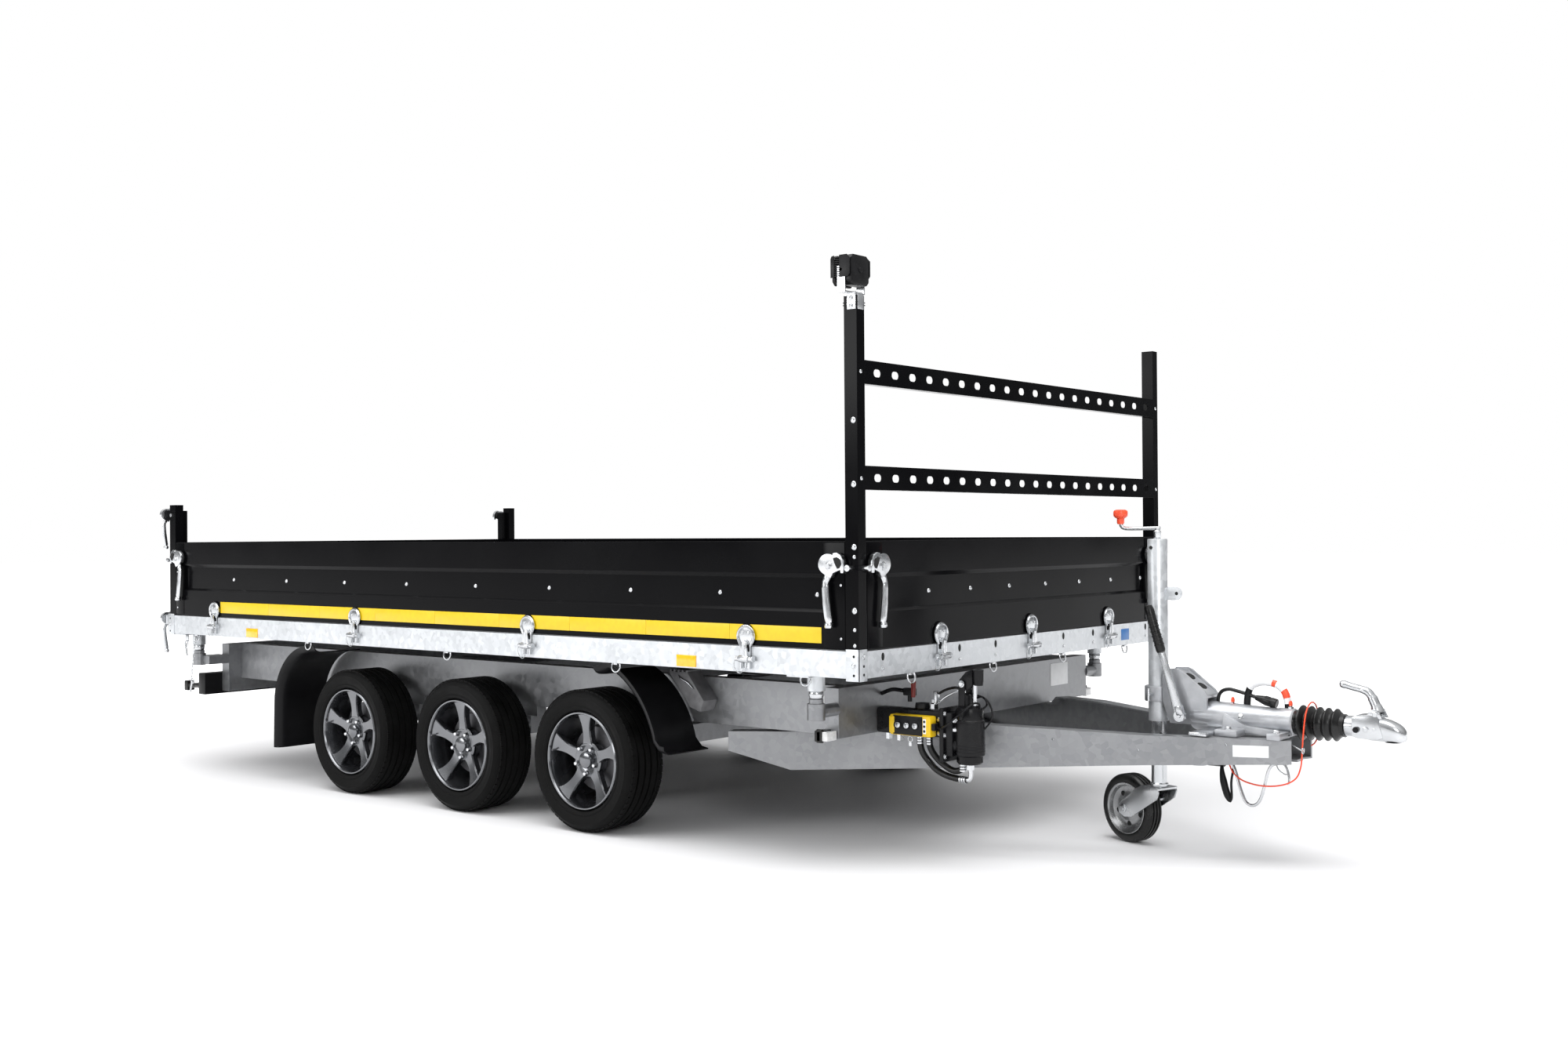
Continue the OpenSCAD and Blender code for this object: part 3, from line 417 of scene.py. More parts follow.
def tyre_outline():
    """Radius and width of the tyre's section, from the inner bead round the tread to the outer bead."""
    half = [(182.4, 72), (186, 84), (192, 90), (198, 92), (203, 90), (212, 93), (226, tyre_half), (236, 96.5),
            (237, 97), (238, 96), (243, 93), (250, 86), (256, 76), (260.5, 66)]
    tread = [(tyre_r, 56), (tyre_r, 53), (tyre_r - 7, 52), (tyre_r - 7, 44), (tyre_r, 43), (tyre_r, 20),
             (tyre_r - 7, 19), (tyre_r - 7, 11), (tyre_r, 10)]
    side = half + tread
    return side + [(r, -w) for r, w in reversed(side)]


def loop_tool(name, inputs):
    """An empty Geometry Nodes tree with named inputs; gives the tree, its input node and output node."""
    tree = bpy.data.node_groups.new(name, "GeometryNodeTree")
    tree.interface.new_socket("Geometry", in_out="INPUT", socket_type="NodeSocketGeometry")
    for label, kind, value in inputs:
        made = tree.interface.new_socket(label, in_out="INPUT", socket_type=kind)
        if value is not None:
            made.default_value = value
    tree.interface.new_socket("Geometry", in_out="OUTPUT", socket_type="NodeSocketGeometry")
    return tree, tree.nodes.new("NodeGroupInput"), tree.nodes.new("NodeGroupOutput")


def grow(tree, name, mesh, body, finish=None, **values):
    """Runs a tree on a mesh, keeps the result as a plain mesh and lets it ride on a body."""
    seed = bpy.data.objects.new(name + "_seed", mesh)
    bpy.context.scene.collection.objects.link(seed)
    step = seed.modifiers.new("grow", "NODES")
    step.node_group = tree
    for item in tree.interface.items_tree:
        if item.in_out == "INPUT" and item.name in values:
            step[item.identifier] = values[item.name]
    bpy.context.view_layer.update()
    grown = bpy.data.meshes.new_from_object(seed.evaluated_get(bpy.context.evaluated_depsgraph_get()))
    bpy.data.objects.remove(seed)
    made = bpy.data.objects.new(name, grown)
    bpy.context.scene.collection.objects.link(made)
    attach(made, body)
    return made


def block_tree():
    """Blocks round a circle about the Y axis, each turned to face outwards."""
    tree, start, end = loop_tool("shoulder_blocks", [
        ("Count", "NodeSocketInt", block_count), ("Radius", "NodeSocketFloat", tyre_r / 1000 - 0.0086),
        ("Size", "NodeSocketVector", (0.017, 0.022, 0.012)), ("Offset", "NodeSocketFloat", 0.07),
        ("Material", "NodeSocketMaterial", None)])
    n, l = tree.nodes, tree.links
    ring = n.new("GeometryNodeMeshCircle")
    brick = n.new("GeometryNodeMeshCube")
    copies = n.new("GeometryNodeInstanceOnPoints")
    index = n.new("GeometryNodeInputIndex")
    share = n.new("ShaderNodeMath")
    share.operation = "DIVIDE"
    angle = n.new("ShaderNodeMath")
    angle.operation = "MULTIPLY"
    angle.inputs[1].default_value = 2 * math.pi
    spin = n.new("ShaderNodeCombineXYZ")
    stand = n.new("GeometryNodeTransform")
    stand.inputs["Rotation"].default_value = (math.pi / 2, 0, 0)
    both = n.new("GeometryNodeJoinGeometry")
    real = n.new("GeometryNodeRealizeInstances")
    coat = n.new("GeometryNodeSetMaterial")
    l.new(start.outputs["Count"], ring.inputs["Vertices"])
    l.new(start.outputs["Radius"], ring.inputs["Radius"])
    l.new(start.outputs["Size"], brick.inputs["Size"])
    l.new(ring.outputs["Mesh"], copies.inputs["Points"])
    l.new(brick.outputs["Mesh"], copies.inputs["Instance"])
    l.new(index.outputs["Index"], share.inputs[0])
    l.new(start.outputs["Count"], share.inputs[1])
    l.new(share.outputs[0], angle.inputs[0])
    l.new(angle.outputs[0], spin.inputs["Z"])
    l.new(spin.outputs["Vector"], copies.inputs["Rotation"])
    l.new(copies.outputs["Instances"], stand.inputs["Geometry"])
    for sign in (-1, 1):
        shift = n.new("GeometryNodeTransform")
        reach = n.new("ShaderNodeMath")
        reach.operation = "MULTIPLY"
        reach.inputs[1].default_value = sign
        vector = n.new("ShaderNodeCombineXYZ")
        l.new(start.outputs["Offset"], reach.inputs[0])
        l.new(reach.outputs[0], vector.inputs["Y"])
        l.new(vector.outputs["Vector"], shift.inputs["Translation"])
        l.new(stand.outputs["Geometry"], shift.inputs["Geometry"])
        l.new(shift.outputs["Geometry"], both.inputs["Geometry"])
    l.new(both.outputs["Geometry"], real.inputs["Geometry"])
    l.new(real.outputs["Geometry"], coat.inputs["Geometry"])
    l.new(start.outputs["Material"], coat.inputs["Material"])
    l.new(coat.outputs["Geometry"], end.inputs["Geometry"])
    return tree


shoulder_blocks = block_tree()
onto_y = Matrix.Rotation(-math.pi / 2, 4, "X")
for body, turn in wheel_places():
    bm = bmesh.new()
    lathe(bm, tyre_outline() + tyre_outline()[:1], turn @ onto_y, 96)
    piece(bm, body + "_tyre", body, [tyre_black], [body])
    identifiers = {"Count": block_count, "Material": tyre_black}
    blocks = grow(shoulder_blocks, body + "_shoulders", bpy.data.meshes.new("seed"), body, "tyre_rubber",
                  **identifiers)
    blocks.data.transform(Matrix.Translation(at(turn.translation)))

# ---- Alloy rims ----
# Cast aluminium, five swept spokes whose faces are machined and lacquered over a graphite barrel, a thin
# bright lip, five plated nuts in a recessed hub and a plain domed cap.
graphite = surface("graphite_rim", (0.03, 0.032, 0.036), (0.06, 0.062, 0.068), (0.2, 0.34), 0.8, 12.0, 0.05,
                   0.0008, coat=0.5)
machined = surface("machined_alloy", (0.15, 0.155, 0.165), (0.21, 0.215, 0.225), (0.2, 0.26), 1.0, 9.0, 0.0,
                   0.001, coat=0.3)
cast_grey = surface("brake_drum", (0.10, 0.10, 0.11), (0.2, 0.2, 0.21), (0.4, 0.6), 0.6)
plated = surface("plated_nut", (0.55, 0.56, 0.58), (0.8, 0.81, 0.83), (0.14, 0.25), 1.0, 60.0)
spoke_count = 5
spoke_steps = 12


def spoke(bm, start):
    """One swept spoke: narrowest halfway out, its face falling in towards the hub."""
    part = bmesh.new()
    rows = []
    for i in range(spoke_steps + 1):
        t = i / spoke_steps
        r = 40 + t * 129
        swing = start + 0.05 * t * t
        wide = 20 + 15 * (2 * abs(t - 0.45)) ** 2.0
        face = 52 + 22 * t ** 1.6
        along = Vector((math.cos(swing), 0, math.sin(swing)))
        side = Vector((-math.sin(swing), 0, math.cos(swing)))
        middle = along * r
        section = [(-wide, face - 26), (-wide, face - 5), (-wide + 4, face), (wide - 4, face),
                   (wide, face - 5), (wide, face - 26)]
        rows.append([part.verts.new(middle + side * s + Vector((0, h, 0))) for s, h in section])
    for a, b in zip(rows, rows[1:]):
        for k in range(6):
            f = part.faces.new((a[k], a[(k + 1) % 6], b[(k + 1) % 6], b[k]))
            f.material_index = 1 if k == 2 else 0
    part.faces.new(rows[0])
    part.faces.new(rows[-1])
    bmesh.ops.recalc_face_normals(part, faces=part.faces)
    scratch = bpy.data.meshes.new("scratch")
    part.to_mesh(scratch)
    part.free()
    bm.from_mesh(scratch)
    bpy.data.meshes.remove(scratch)


for body, turn in wheel_places():
    bm = bmesh.new()
    barrel = [(181.8, -82), (181.8, 82), (178, 86), (174, 86), (171, 81), (167, 66), (160, 44), (152, 10),
              (152, -62), (168, -74), (174, -82), (181.8, -82)]
    lathe(bm, barrel, onto_y, 96, 0)
    lathe(bm, [(181.9, 82.2), (178.2, 86.6), (173.6, 86.6), (170.6, 81), (174, 80), (181.9, 82.2)], onto_y,
          96, 1)
    for i in range(spoke_count):
        spoke(bm, math.radians(90 + 360 / spoke_count * i))
    lathe(bm, [(0, 14), (66, 14), (70, 30), (68, 48), (60, 54), (36, 52), (33, 50), (0, 50)], onto_y, 64, 1)
    lathe(bm, [(0, 48), (30, 48), (31, 62), (29, 66), (20, 70), (0, 71.5)], onto_y, 40, 1)
    lathe(bm, [(0, -20), (118, -20), (120, -8), (118, 4), (60, 6), (0, 6)], onto_y, 48, 3)
    for i in range(5):
        a = math.radians(126 + 72 * i)
        spot = Vector((50 * math.cos(a), 52, 50 * math.sin(a)))
        lathe(bm, [(0, 0), (11, 0), (10.5, 3), (0, 3)], Matrix.Translation(spot) @ onto_y, 20, 0)
        lathe(bm, [(0, 0), (8.6, 0), (8.6, 14), (6.5, 17), (0, 18)], Matrix.Translation(spot) @ onto_y, 6, 2)
    tube(bm, [(150, 60, 30), (150, 76, 30), (149, 90, 29)], 3.2, 8, 3)
    bmesh.ops.transform(bm, matrix=turn, verts=bm.verts)
    piece(bm, body + "_rim", body, [graphite, machined, plated, cast_grey])

# ---- Mudguards ----
# Vacuum-formed black plastic with a rolled outer lip; a short arched one before the front wheels and a
# longer one with a straight flap behind the rear wheels, screwed to the chassis.
guard_black = surface("guard_black", (0.003, 0.003, 0.0035), (0.007, 0.007, 0.008), (0.28, 0.42), 0.0, 6.0,
                      0.15, 0.001, gloss=0.16)


def guard(bm, line, y_in, y_out, side):
    """A sheet that follows a line in X and Z, rolled down along its outer edge."""
    part = bmesh.new()
    rows = []
    for i, (x, z) in enumerate(line):
        x0, z0 = line[max(i - 1, 0)]
        x1, z1 = line[min(i + 1, len(line) - 1)]
        t = Vector((x1 - x0, 0, z1 - z0)).normalized()
        out = Vector((t.z, 0, -t.x))
        lip = [(y_in, 0), (y_in + 60, 0), (y_out - 46, 0), (y_out - 28, -2), (y_out - 12, -9),
               (y_out - 3, -20), (y_out, -34), (y_out - 3, -34), (y_out - 6, -22), (y_out - 15, -13),
               (y_out - 30, -6), (y_out - 46, -4), (y_in, -4)]
        rows.append([part.verts.new(Vector((x, side * y, z)) + out * d) for y, d in lip])
    count = len(rows[0])
    for a, b in zip(rows, rows[1:]):
        for k in range(count):
            part.faces.new((a[k], a[(k + 1) % count], b[(k + 1) % count], b[k]))
    part.faces.new(rows[0])
    part.faces.new(rows[-1])
    join(bm, part)


guard_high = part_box("mudguards")[1]
guard_out = guard_high.y * 1000
hub_x = [(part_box(f"wheel_{row}_left")[0].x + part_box(f"wheel_{row}_left")[1].x) / 2
         for row in ("front", "rear")]
hub_front, hub_rear = ((x - front_face) * 1000 for x in hub_x)
front_arc = [(hub_front + 372 * math.cos(math.radians(a)), tyre_r + 372 * math.sin(math.radians(a)))
             for a in range(70, 11, -4)]
front_line = [(hub_front + 80, 584), (hub_front + 105, 586)] + front_arc[1:]
front_line += [(hub_front + 392, 322), (hub_front + 424, 316)]
rear_line = [(hub_rear - 236, 586), (hub_rear - 290, 583)]
rear_line += [(hub_rear - 271 - 233 * math.sin(math.radians(a)), 350 + 233 * math.cos(math.radians(a)))
              for a in range(20, 91, 7)]
rear_line += [(hub_rear - 506, 280), (hub_rear - 508, 200), (hub_rear - 509, 152)]
bm = bmesh.new()
for side in (1, -1):
    guard(bm, front_line, 800, guard_out, side)
    guard(bm, rear_line[::-1], 800, guard_out, side)
piece(bm, "mudguards_formed", "chassis", [guard_black], ["mudguards"], 40)

# ---- Rivets and screws ----
# Domed rivets fix the panels' stiffeners and end plates; larger domed screws hold the posts. Each row is
# made by one Geometry Nodes tree that stands a head on every point, facing the way its surface faces.
head_rings = 3


def heads_tree():
    tree, start, end = loop_tool("standing_heads",
                                 [("Radius", "NodeSocketFloat", 0.008), ("Height", "NodeSocketFloat", 0.004),
                                  ("Sides", "NodeSocketInt", 14), ("Material", "NodeSocketMaterial", None)])
    n, l = tree.nodes, tree.links
    dome = n.new("GeometryNodeMeshUVSphere")
    dome.inputs["Rings"].default_value = head_rings * 2
    dome.inputs["Radius"].default_value = 1.0
    scale = n.new("ShaderNodeCombineXYZ")
    squash = n.new("GeometryNodeTransform")
    facing = n.new("GeometryNodeInputNamedAttribute")
    facing.data_type = "FLOAT_VECTOR"
    facing.inputs["Name"].default_value = "out"
    align = n.new("FunctionNodeAlignRotationToVector")
    copies = n.new("GeometryNodeInstanceOnPoints")
    real = n.new("GeometryNodeRealizeInstances")
    smooth = n.new("GeometryNodeSetShadeSmooth")
    coat = n.new("GeometryNodeSetMaterial")
    l.new(start.outputs["Sides"], dome.inputs["Segments"])
    l.new(start.outputs["Radius"], scale.inputs["X"])
    l.new(start.outputs["Radius"], scale.inputs["Y"])
    l.new(start.outputs["Height"], scale.inputs["Z"])
    l.new(dome.outputs["Mesh"], squash.inputs["Geometry"])
    l.new(scale.outputs["Vector"], squash.inputs["Scale"])
    l.new(facing.outputs["Attribute"], align.inputs["Vector"])
    l.new(start.outputs["Geometry"], copies.inputs["Points"])
    l.new(squash.outputs["Geometry"], copies.inputs["Instance"])
    l.new(align.outputs["Rotation"], copies.inputs["Rotation"])
    l.new(copies.outputs["Instances"], real.inputs["Geometry"])
    l.new(real.outputs["Geometry"], smooth.inputs["Geometry"])
    l.new(smooth.outputs["Geometry"], coat.inputs["Geometry"])
    l.new(start.outputs["Material"], coat.inputs["Material"])
    l.new(coat.outputs["Geometry"], end.inputs["Geometry"])
    return tree


standing_heads = heads_tree()


def heads(name, body, spots, radius, rise, material, finish="zinc_plated"):
    """Domed heads at spots, each a place and the direction that it faces."""
    mesh = bpy.data.meshes.new(name + "_points")
    mesh.from_pydata([at(p) for p, out in spots], [], [])
    facing = mesh.attributes.new("out", "FLOAT_VECTOR", "POINT")
    facing.data.foreach_set("vector", [c for p, out in spots for c in out])
    return grow(standing_heads, name, mesh, body, finish, Radius=radius / 1000, Height=rise / 1000,
                Material=material)


bed_length = 4120
half_bed = 1060
side_face = 1058
fold_in = 10
rivet_x = [-173, -590, -1015, -1441, -1864, -2297, -2720, -3149, -3570, -4038]
for side, name in ((1, "left"), (-1, "right")):
    row = [((x, side * (side_face - fold_in), 898), (0, side, 0)) for x in rivet_x]
    heads(f"side_{name}_rivets", f"side_panel_{name}", row, 9, 6, bright_zinc)
    ends = [((x, side * (side_face + 1.5), z), (0, side, 0)) for x in (-70, -4039)
            for z in (760, 930, 1010)]
    heads(f"side_{name}_end_rivets", f"side_panel_{name}", ends, 5, 3, bright_zinc)
    posts = [((-16, side * half_bed, z), (0, side, 0)) for z in (1452, 1250, 1051, 850)]
    heads(f"post_{name}_screws", "bed", posts, 11, 5, bright_zinc)
    small = [((-16, side * half_bed, z), (0, side, 0)) for z in (1020, 790, 740)]
    small += [((0, side * 1040, z), (1, 0, 0)) for z in (1268, 1606)]
    heads(f"post_{name}_small_screws", "bed", small, 7, 3.5, bright_zinc)
front_row = [((-2 - fold_in, y, 901), (1, 0, 0)) for y in range(-910, 911, 260)]
heads("front_rivets", "front_panel", front_row, 9, 6, bright_zinc)
gate_row = [((-4118 + fold_in, y, 901), (-1, 0, 0)) for y in range(-910, 911, 260)]
heads("gate_rivets", "tailgate", gate_row, 9, 6, bright_zinc)

# ---- Panel end plates, tape and markers ----
# Flat black plates cap the folded panels' ends. Yellow reflective tape runs along each side in lengths with
# thin joints, and amber reflectors stick to the side rails.
tape_yellow = surface("tape_yellow", (0.66, 0.45, 0.0), (0.72, 0.50, 0.0), (0.3, 0.42), 0.0, 60.0, 0.1)
amber = surface("amber_lens", (0.85, 0.42, 0.0), (0.95, 0.5, 0.01), (0.15, 0.25), 0.0, 90.0, coat=0.5)
tape_length = 391
for side, name in ((1, "left"), (-1, "right")):
    bm = bmesh.new()
    for x0, x1 in ((-141, -54), (-4055, -3984)):
        y0, y1 = sorted((side * (side_face - 12), side * (side_face + 1.5)))
        box(bm, x0, x1, y0, y1, 729, 1066, 1)
    piece(bm, f"side_{name}_end_plates", f"side_panel_{name}", [gloss_black])
    bm = bmesh.new()
    x = -150
    while x - tape_length > -3990:
        y0, y1 = sorted((side * (side_face - 0.5), side * (side_face + 0.8)))
        box(bm, x - tape_length + 1, x, y0, y1, 743, 794, 0.2)
        x -= tape_length
    piece(bm, f"side_{name}_tape", f"side_panel_{name}", [tape_yellow])
    bm = bmesh.new()
    for x in (-737, -3405):
        y0, y1 = sorted((side * 1059, side * 1063))
        box(bm, x - 45, x + 45, y0, y1, 640, 680, 1.5)
    piece(bm, f"side_{name}_reflectors", "bed", [amber])
bm = bmesh.new()
for side in (1, -1):
    y0, y1 = sorted((side * 930, side * 1012))
    box(bm, -12, -0.5, y0, y1, 729, 1066, 1)
piece(bm, "front_end_plates", "front_panel", [gloss_black])

# ---- Bed corners ----
# Galvanised angle brackets with punched holes and bolts tie the side rails to the end rails; the holes are
# thin dark discs of painted shade. The front rail has oval drain holes, thin dark ovals of painted shade,
# with a small bolt under each.
# Dark discs and ovals that stand for the shade inside holes: painted shade.
hole_shade = surface("hole_painted_shade", (0.004, 0.004, 0.004), (0.01, 0.01, 0.01), (0.8, 0.95))
bm = bmesh.new()
for side in (1, -1):
    for x0, x1 in ((-50, 3), (-4123, -4070)):
        y0, y1 = sorted((side * 1059, side * 1063))
        box(bm, x0, x1, y0, y1, 627, 728, 1)
    for x0, x1 in ((-1, 3), (-4123, -4119)):
        y0, y1 = sorted((side * 1019, side * 1063))
        box(bm, x0, x1, y0, y1, 627, 728, 1)
    for x, out in ((3, 1), (-4123, -1)):
        bolt(bm, (x, side * 1038, 705), (out, 0, 0), 6, 4, 1)
        for z in (675, 648):
            lathe(bm, [(0, 0), (4.5, 0), (4.5, 0.4), (0, 0.4)],
                  move(x, side * 1038, z) @ Matrix.Rotation(out * math.pi / 2, 4, "Y"), 16, 2)
    for x in (-18, -4102):
        bolt(bm, (x, side * 1063, 676), (0, side, 0), 6, 4, 1)
        for z in (706, 646):
            lathe(bm, [(0, 0), (4.5, 0), (4.5, 0.4), (0, 0.4)],
                  move(x, side * 1063, z) @ Matrix.Rotation(-side * math.pi / 2, 4, "X"), 16, 2)
for y in (931, 479, 244, -244, -479, -931):
    oval = [(8 * math.cos(2 * math.pi * k / 20), 13 * math.sin(2 * math.pi * k / 20)) for k in range(20)]
    plate(bm, oval, -0.3, 0.5, 0, 2, move(0, y, 699) @ Matrix.Rotation(-math.pi / 2, 4, "Z"))
    bolt(bm, (0, y, 662), (1, 0, 0), 5, 3, 1)
piece(bm, "bed_corner_brackets", "bed", [zinc_dip, bright_zinc, hole_shade])

# ---- Panel levers ----
# Drop-forged and zinc-plated: a rounded claw hooks over a peg in the post, a hexagon bolt is its pivot, and
# a tapered grip of I-section hangs down from it.


def lever_shape(bm):
    """Outside towards +Y and claw towards +X, about the pivot at the origin."""
    cam = [(38 * math.cos(math.radians(a)) - 6, 34 * math.sin(math.radians(a)) + 6)
           for a in range(60, 241, 15)]
    cam += [(-8, -34), (6, -38), (16, -22), (32, -16), (44, -12), (46, -22), (56, -22), (60, -2), (57, 20),
            (46, 36), (30, 44), (14, 42)]
    plate(bm, cam, 8, 26, 3)
    for y in (6, 27):
        # Thin dark plates on both faces of the claw stand for the hollow under its hook: painted shade.
        plate(bm, [(34, -8), (42, -6), (50, 6), (46, 22), (32, 30), (18, 26), (24, 10)], y - 1, y + 1, 0.5, 1)
    tube(bm, curve([(-8, 16, -26), (-17, 18, -44), (-20, 19, -62), (-15, 20, -120), (-6, 20, -180)], 5),
         [12] * 5 + [11] * 5 + [12] * 5 + [13] * 5 + [11], 10, 0, 0.7)
    lathe(bm, [(0, 0), (12, 0), (14, 4), (14, 14), (11, 18), (0, 18)], move(-6, 20, -197), 16)
    bolt(bm, (0, 25, 0), (0, 1, 0), 10, 9, 0, 2)
    lathe(bm, [(0, 0.5), (15, 0.5), (15, 10), (0, 10)], onto_y, 24)


def lever_place(node, base, facing, flip=False):
    """Puts a lever on its pivot: facing is the way its outside looks."""
    turn = Matrix.Rotation({"left": 0, "right": math.pi, "front": -math.pi / 2, "rear": math.pi / 2}[facing],
                           4, "Z")
    return Matrix.Translation(base) @ turn @ (Matrix.Scale(-1, 4, (1, 0, 0)) if flip else Matrix.Identity(4))


lever_list = []
for side, name in ((1, "left"), (-1, "right")):
    lever_list.append((f"side_front_lever_{name}", (-99, side * side_face, 991), name, side < 0))
    lever_list.append((f"side_rear_lever_{name}", (-4010, side * side_face, 991), name, side > 0))
    lever_list.append((f"front_lever_{name}", (-2, side * 960, 991), "front", side > 0))
    lever_list.append((f"gate_top_lever_{name}", (-4150, side * 1041, 1200), "rear", side > 0))
    lever_list.append((f"gate_low_lever_{name}", (-4150, side * 1041, 701), "rear", side > 0))
for node, base, facing, flip in lever_list:
    bm = bmesh.new()
    lever_shape(bm)
    place = lever_place(node, base, facing, flip)
    if "gate" in node:
        place = place @ Matrix.Scale(0.82, 4)
    bmesh.ops.transform(bm, matrix=place, verts=bm.verts)
    if place.determinant() < 0:
        bmesh.ops.reverse_faces(bm, faces=bm.faces)
    piece(bm, node + "_forged", node, [bright_zinc, hole_shade], [node])

# ---- Keeper pegs ----
# Plated pegs welded to the posts and rails, which the levers' claws pull on.
bm = bmesh.new()
for side in (1, -1):
    for x in (-24, -4082):
        place = move(x, side * 1059, 985) @ Matrix.Rotation(-side * math.pi / 2, 4, "X")
        lathe(bm, [(0, 0), (8, 0), (8, 24), (10, 25), (10, 30), (0, 31)], place, 20)
    place = move(-1, side * 1036, 985) @ onto_front
    lathe(bm, [(0, 0), (8, 0), (8, 22), (10, 23), (10, 28), (0, 29)], place, 20)
piece(bm, "keeper_pegs", "bed", [bright_zinc])

# ---- Hinges ----
# Pressed and zinc-plated hinge straps: a round head riveted to the panel, a ribbed neck, and a rolled
# eye round a pin at the rail. A spring ring keeps each pin in.
hinge_z = 680
hinge_out = 14
side_hinges = [-463 - i * (bed_length - 463 - 410) / 3 for i in range(4)]
end_hinges = (-600, 0, 600)


def strap(bm):
    """A strap with its outside towards +Y and its pin along X at the origin."""
    head = [(40 * math.cos(math.radians(a)), 75 + 38 * math.sin(math.radians(a)))
            for a in range(-50, 231, 14)]
    plate(bm, head + [(-20, 42), (-19, 0), (19, 0), (20, 42)], -12, -7, 1.5)
    rim = [Vector((34 * math.cos(math.radians(a)), -6, 75 + 32 * math.sin(math.radians(a))))
           for a in range(-35, 216, 12)]
    tube(bm, [Vector((20, -6, 42))] + rim + [Vector((-20, -6, 42))], 4, 8)
    plate(bm, [(-17, 0), (17, 0), (14, 36), (11, 56), (0, 62), (-11, 56), (-14, 36)], -9, 5, 3)
    tube(bm, [(0, 5.5, 8), (0, 5.5, 52)], 5.5, 8, 0, 0.6)
    lathe(bm, [(0, 0), (12, 0), (12.6, 2), (12.6, 38), (12, 40), (0, 40)], move(-20, 0, 0) @ onto_front, 24)
    lathe(bm, [(0, 0), (8.5, 0), (8.5, 74), (0, 74)], move(-37, 0, 0) @ onto_front, 20)
    lathe(bm, [(0, 0), (10.5, 0), (10.5, 4), (0, 4)], move(-40, 0, 0) @ onto_front, 20)
    for x in (-13, 13):
        lathe(bm, [(0, 0), (6, 0), (5, 2.5), (0, 3.5)], move(x, -7, 86) @ onto_y, 14)


def ring_loop(bm):
    """The spring ring through the pin's end, hanging from it."""
    turn = [Vector((31 + 2 * math.sin(a), 5 * math.cos(a) - 2, -24 + 25 * math.cos(a))) for a in
            [2 * math.pi * k / 28 for k in range(29)]]
    turn = [Vector((p.x - 4 + 18 * math.sin(2 * math.pi * k / 28), p.y, p.z)) for k, p in enumerate(turn)]
    tube(bm, turn, 1.4, 6)


hinge_rows = []
for side, name, turned in ((1, "left", 0), (-1, "right", math.pi)):
    outwards = Matrix.Rotation(turned, 4, "Z")
    spots = [move(x, side * (half_bed + hinge_out), hinge_z) @ outwards for x in side_hinges]
    hinge_rows.append((f"side_panel_{name}", spots))
hinge_rows.append(("front_panel", [move(hinge_out, y, hinge_z) @ Matrix.Rotation(-math.pi / 2, 4, "Z")
                                   for y in end_hinges]))
hinge_rows.append(("tailgate", [move(-bed_length - hinge_out, y, hinge_z)
                                @ Matrix.Rotation(math.pi / 2, 4, "Z") for y in end_hinges]))
for body, places in hinge_rows:
    bm = bmesh.new()
    for place in places:
        one = bmesh.new()
        strap(one)
        join(bm, one, 0, place)
    piece(bm, body + "_straps", body, [bright_zinc])
    bm = bmesh.new()
    for place in places:
        one = bmesh.new()
        ring_loop(one)
        join(bm, one, 0, place)
    piece(bm, body + "_pin_rings", "bed" if body != "tailgate" else "tailgate_pins", [bright_zinc])

# ---- Lashing rings ----
# Round steel rings that hang under the side and end rails on bent clips, for straps.
bm = bmesh.new()
ring_spots = [(x, side * 1040, 0) for side in (1, -1) for x in (-230, -1100, -2050, -3000, -3900)]
ring_spots += [(-8, y, 1) for y in (-760, -250, 250, 760)]
for x, y, turned in ring_spots:
    one = bmesh.new()
    tube(one, [Vector((21 * math.sin(a), 3 * math.cos(a), 622 + 21 * math.cos(a))) for a in
               [2 * math.pi * k / 24 for k in range(25)]], 3.2, 8)
    box(one, -9, 9, -5, 5, 627, 636, 1.5)
    join(bm, one, 0, move(x, y, 0) @ Matrix.Rotation(math.pi / 2 * turned, 4, "Z"))
piece(bm, "lashing_rings", "bed", [bright_zinc])

# ---- Work lamp ----
# A square flood lamp in finned die-cast aluminium, painted black, on a zinc U-bracket held to the post by a
# stepped zinc clip with two cable ties. A thin lead loops out behind it.
lamp_low, lamp_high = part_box("work_lamp")
lamp_mid = (lamp_low + lamp_high) / 2
lx, ly, lz = (lamp_mid.x - front_face) * 1000, lamp_mid.y * 1000, lamp_mid.z * 1000
lamp_black = surface("lamp_black", (0.002, 0.002, 0.0025), (0.006, 0.006, 0.007), (0.3, 0.5), 0.0, 20.0, 0.2,
                     0.001, gloss=0.2)
lens_glass = surface("lamp_lens", (0.02, 0.022, 0.025), (0.05, 0.055, 0.06), (0.05, 0.12), 0.0, 40.0,
                     coat=0.8)
bm = bmesh.new()
cut = 12
outline = [(-48 + cut, -48), (48 - cut, -48), (48, -48 + cut), (48, 48 - cut), (48 - cut, 48),
           (-48 + cut, 48), (-48, 48 - cut), (-48, -48 + cut)]
onto_x = move(lx, ly, lz) @ Matrix.Rotation(math.pi / 2, 4, "Z")
plate(bm, outline, -36, 6, 4, 0, onto_x)
plate(bm, outline, 26, 39, 3, 0, onto_x)
for i in range(13):
    z = lz - 39 + i * 6.5
    wide = 54 if z > lz - 26 else 44
    box(bm, lx - 28, lx - 4, ly - wide, ly + wide, z - 1.6, z + 1.6, 0.5)
for y0, y1 in ((ly - 55, ly - 53.2), (ly + 53.2, ly + 55)):
    plate(bm, [(lx - 6, lz - 24), (lx + 28, lz - 24), (lx + 36, lz - 14), (lx + 36, lz + 34),
               (lx + 24, lz + 46), (lx - 6, lz + 46)], y0, y1, 0.5)
    plate(bm, [(lx - 40, lz - 24), (lx - 26, lz - 24), (lx - 26, lz + 46), (lx - 36, lz + 44),
               (lx - 40, lz + 36)], y0, y1, 0.5)
plate(bm, [(x * 0.84, z * 0.84) for x, z in outline], 38, 41, 1, 1, onto_x)
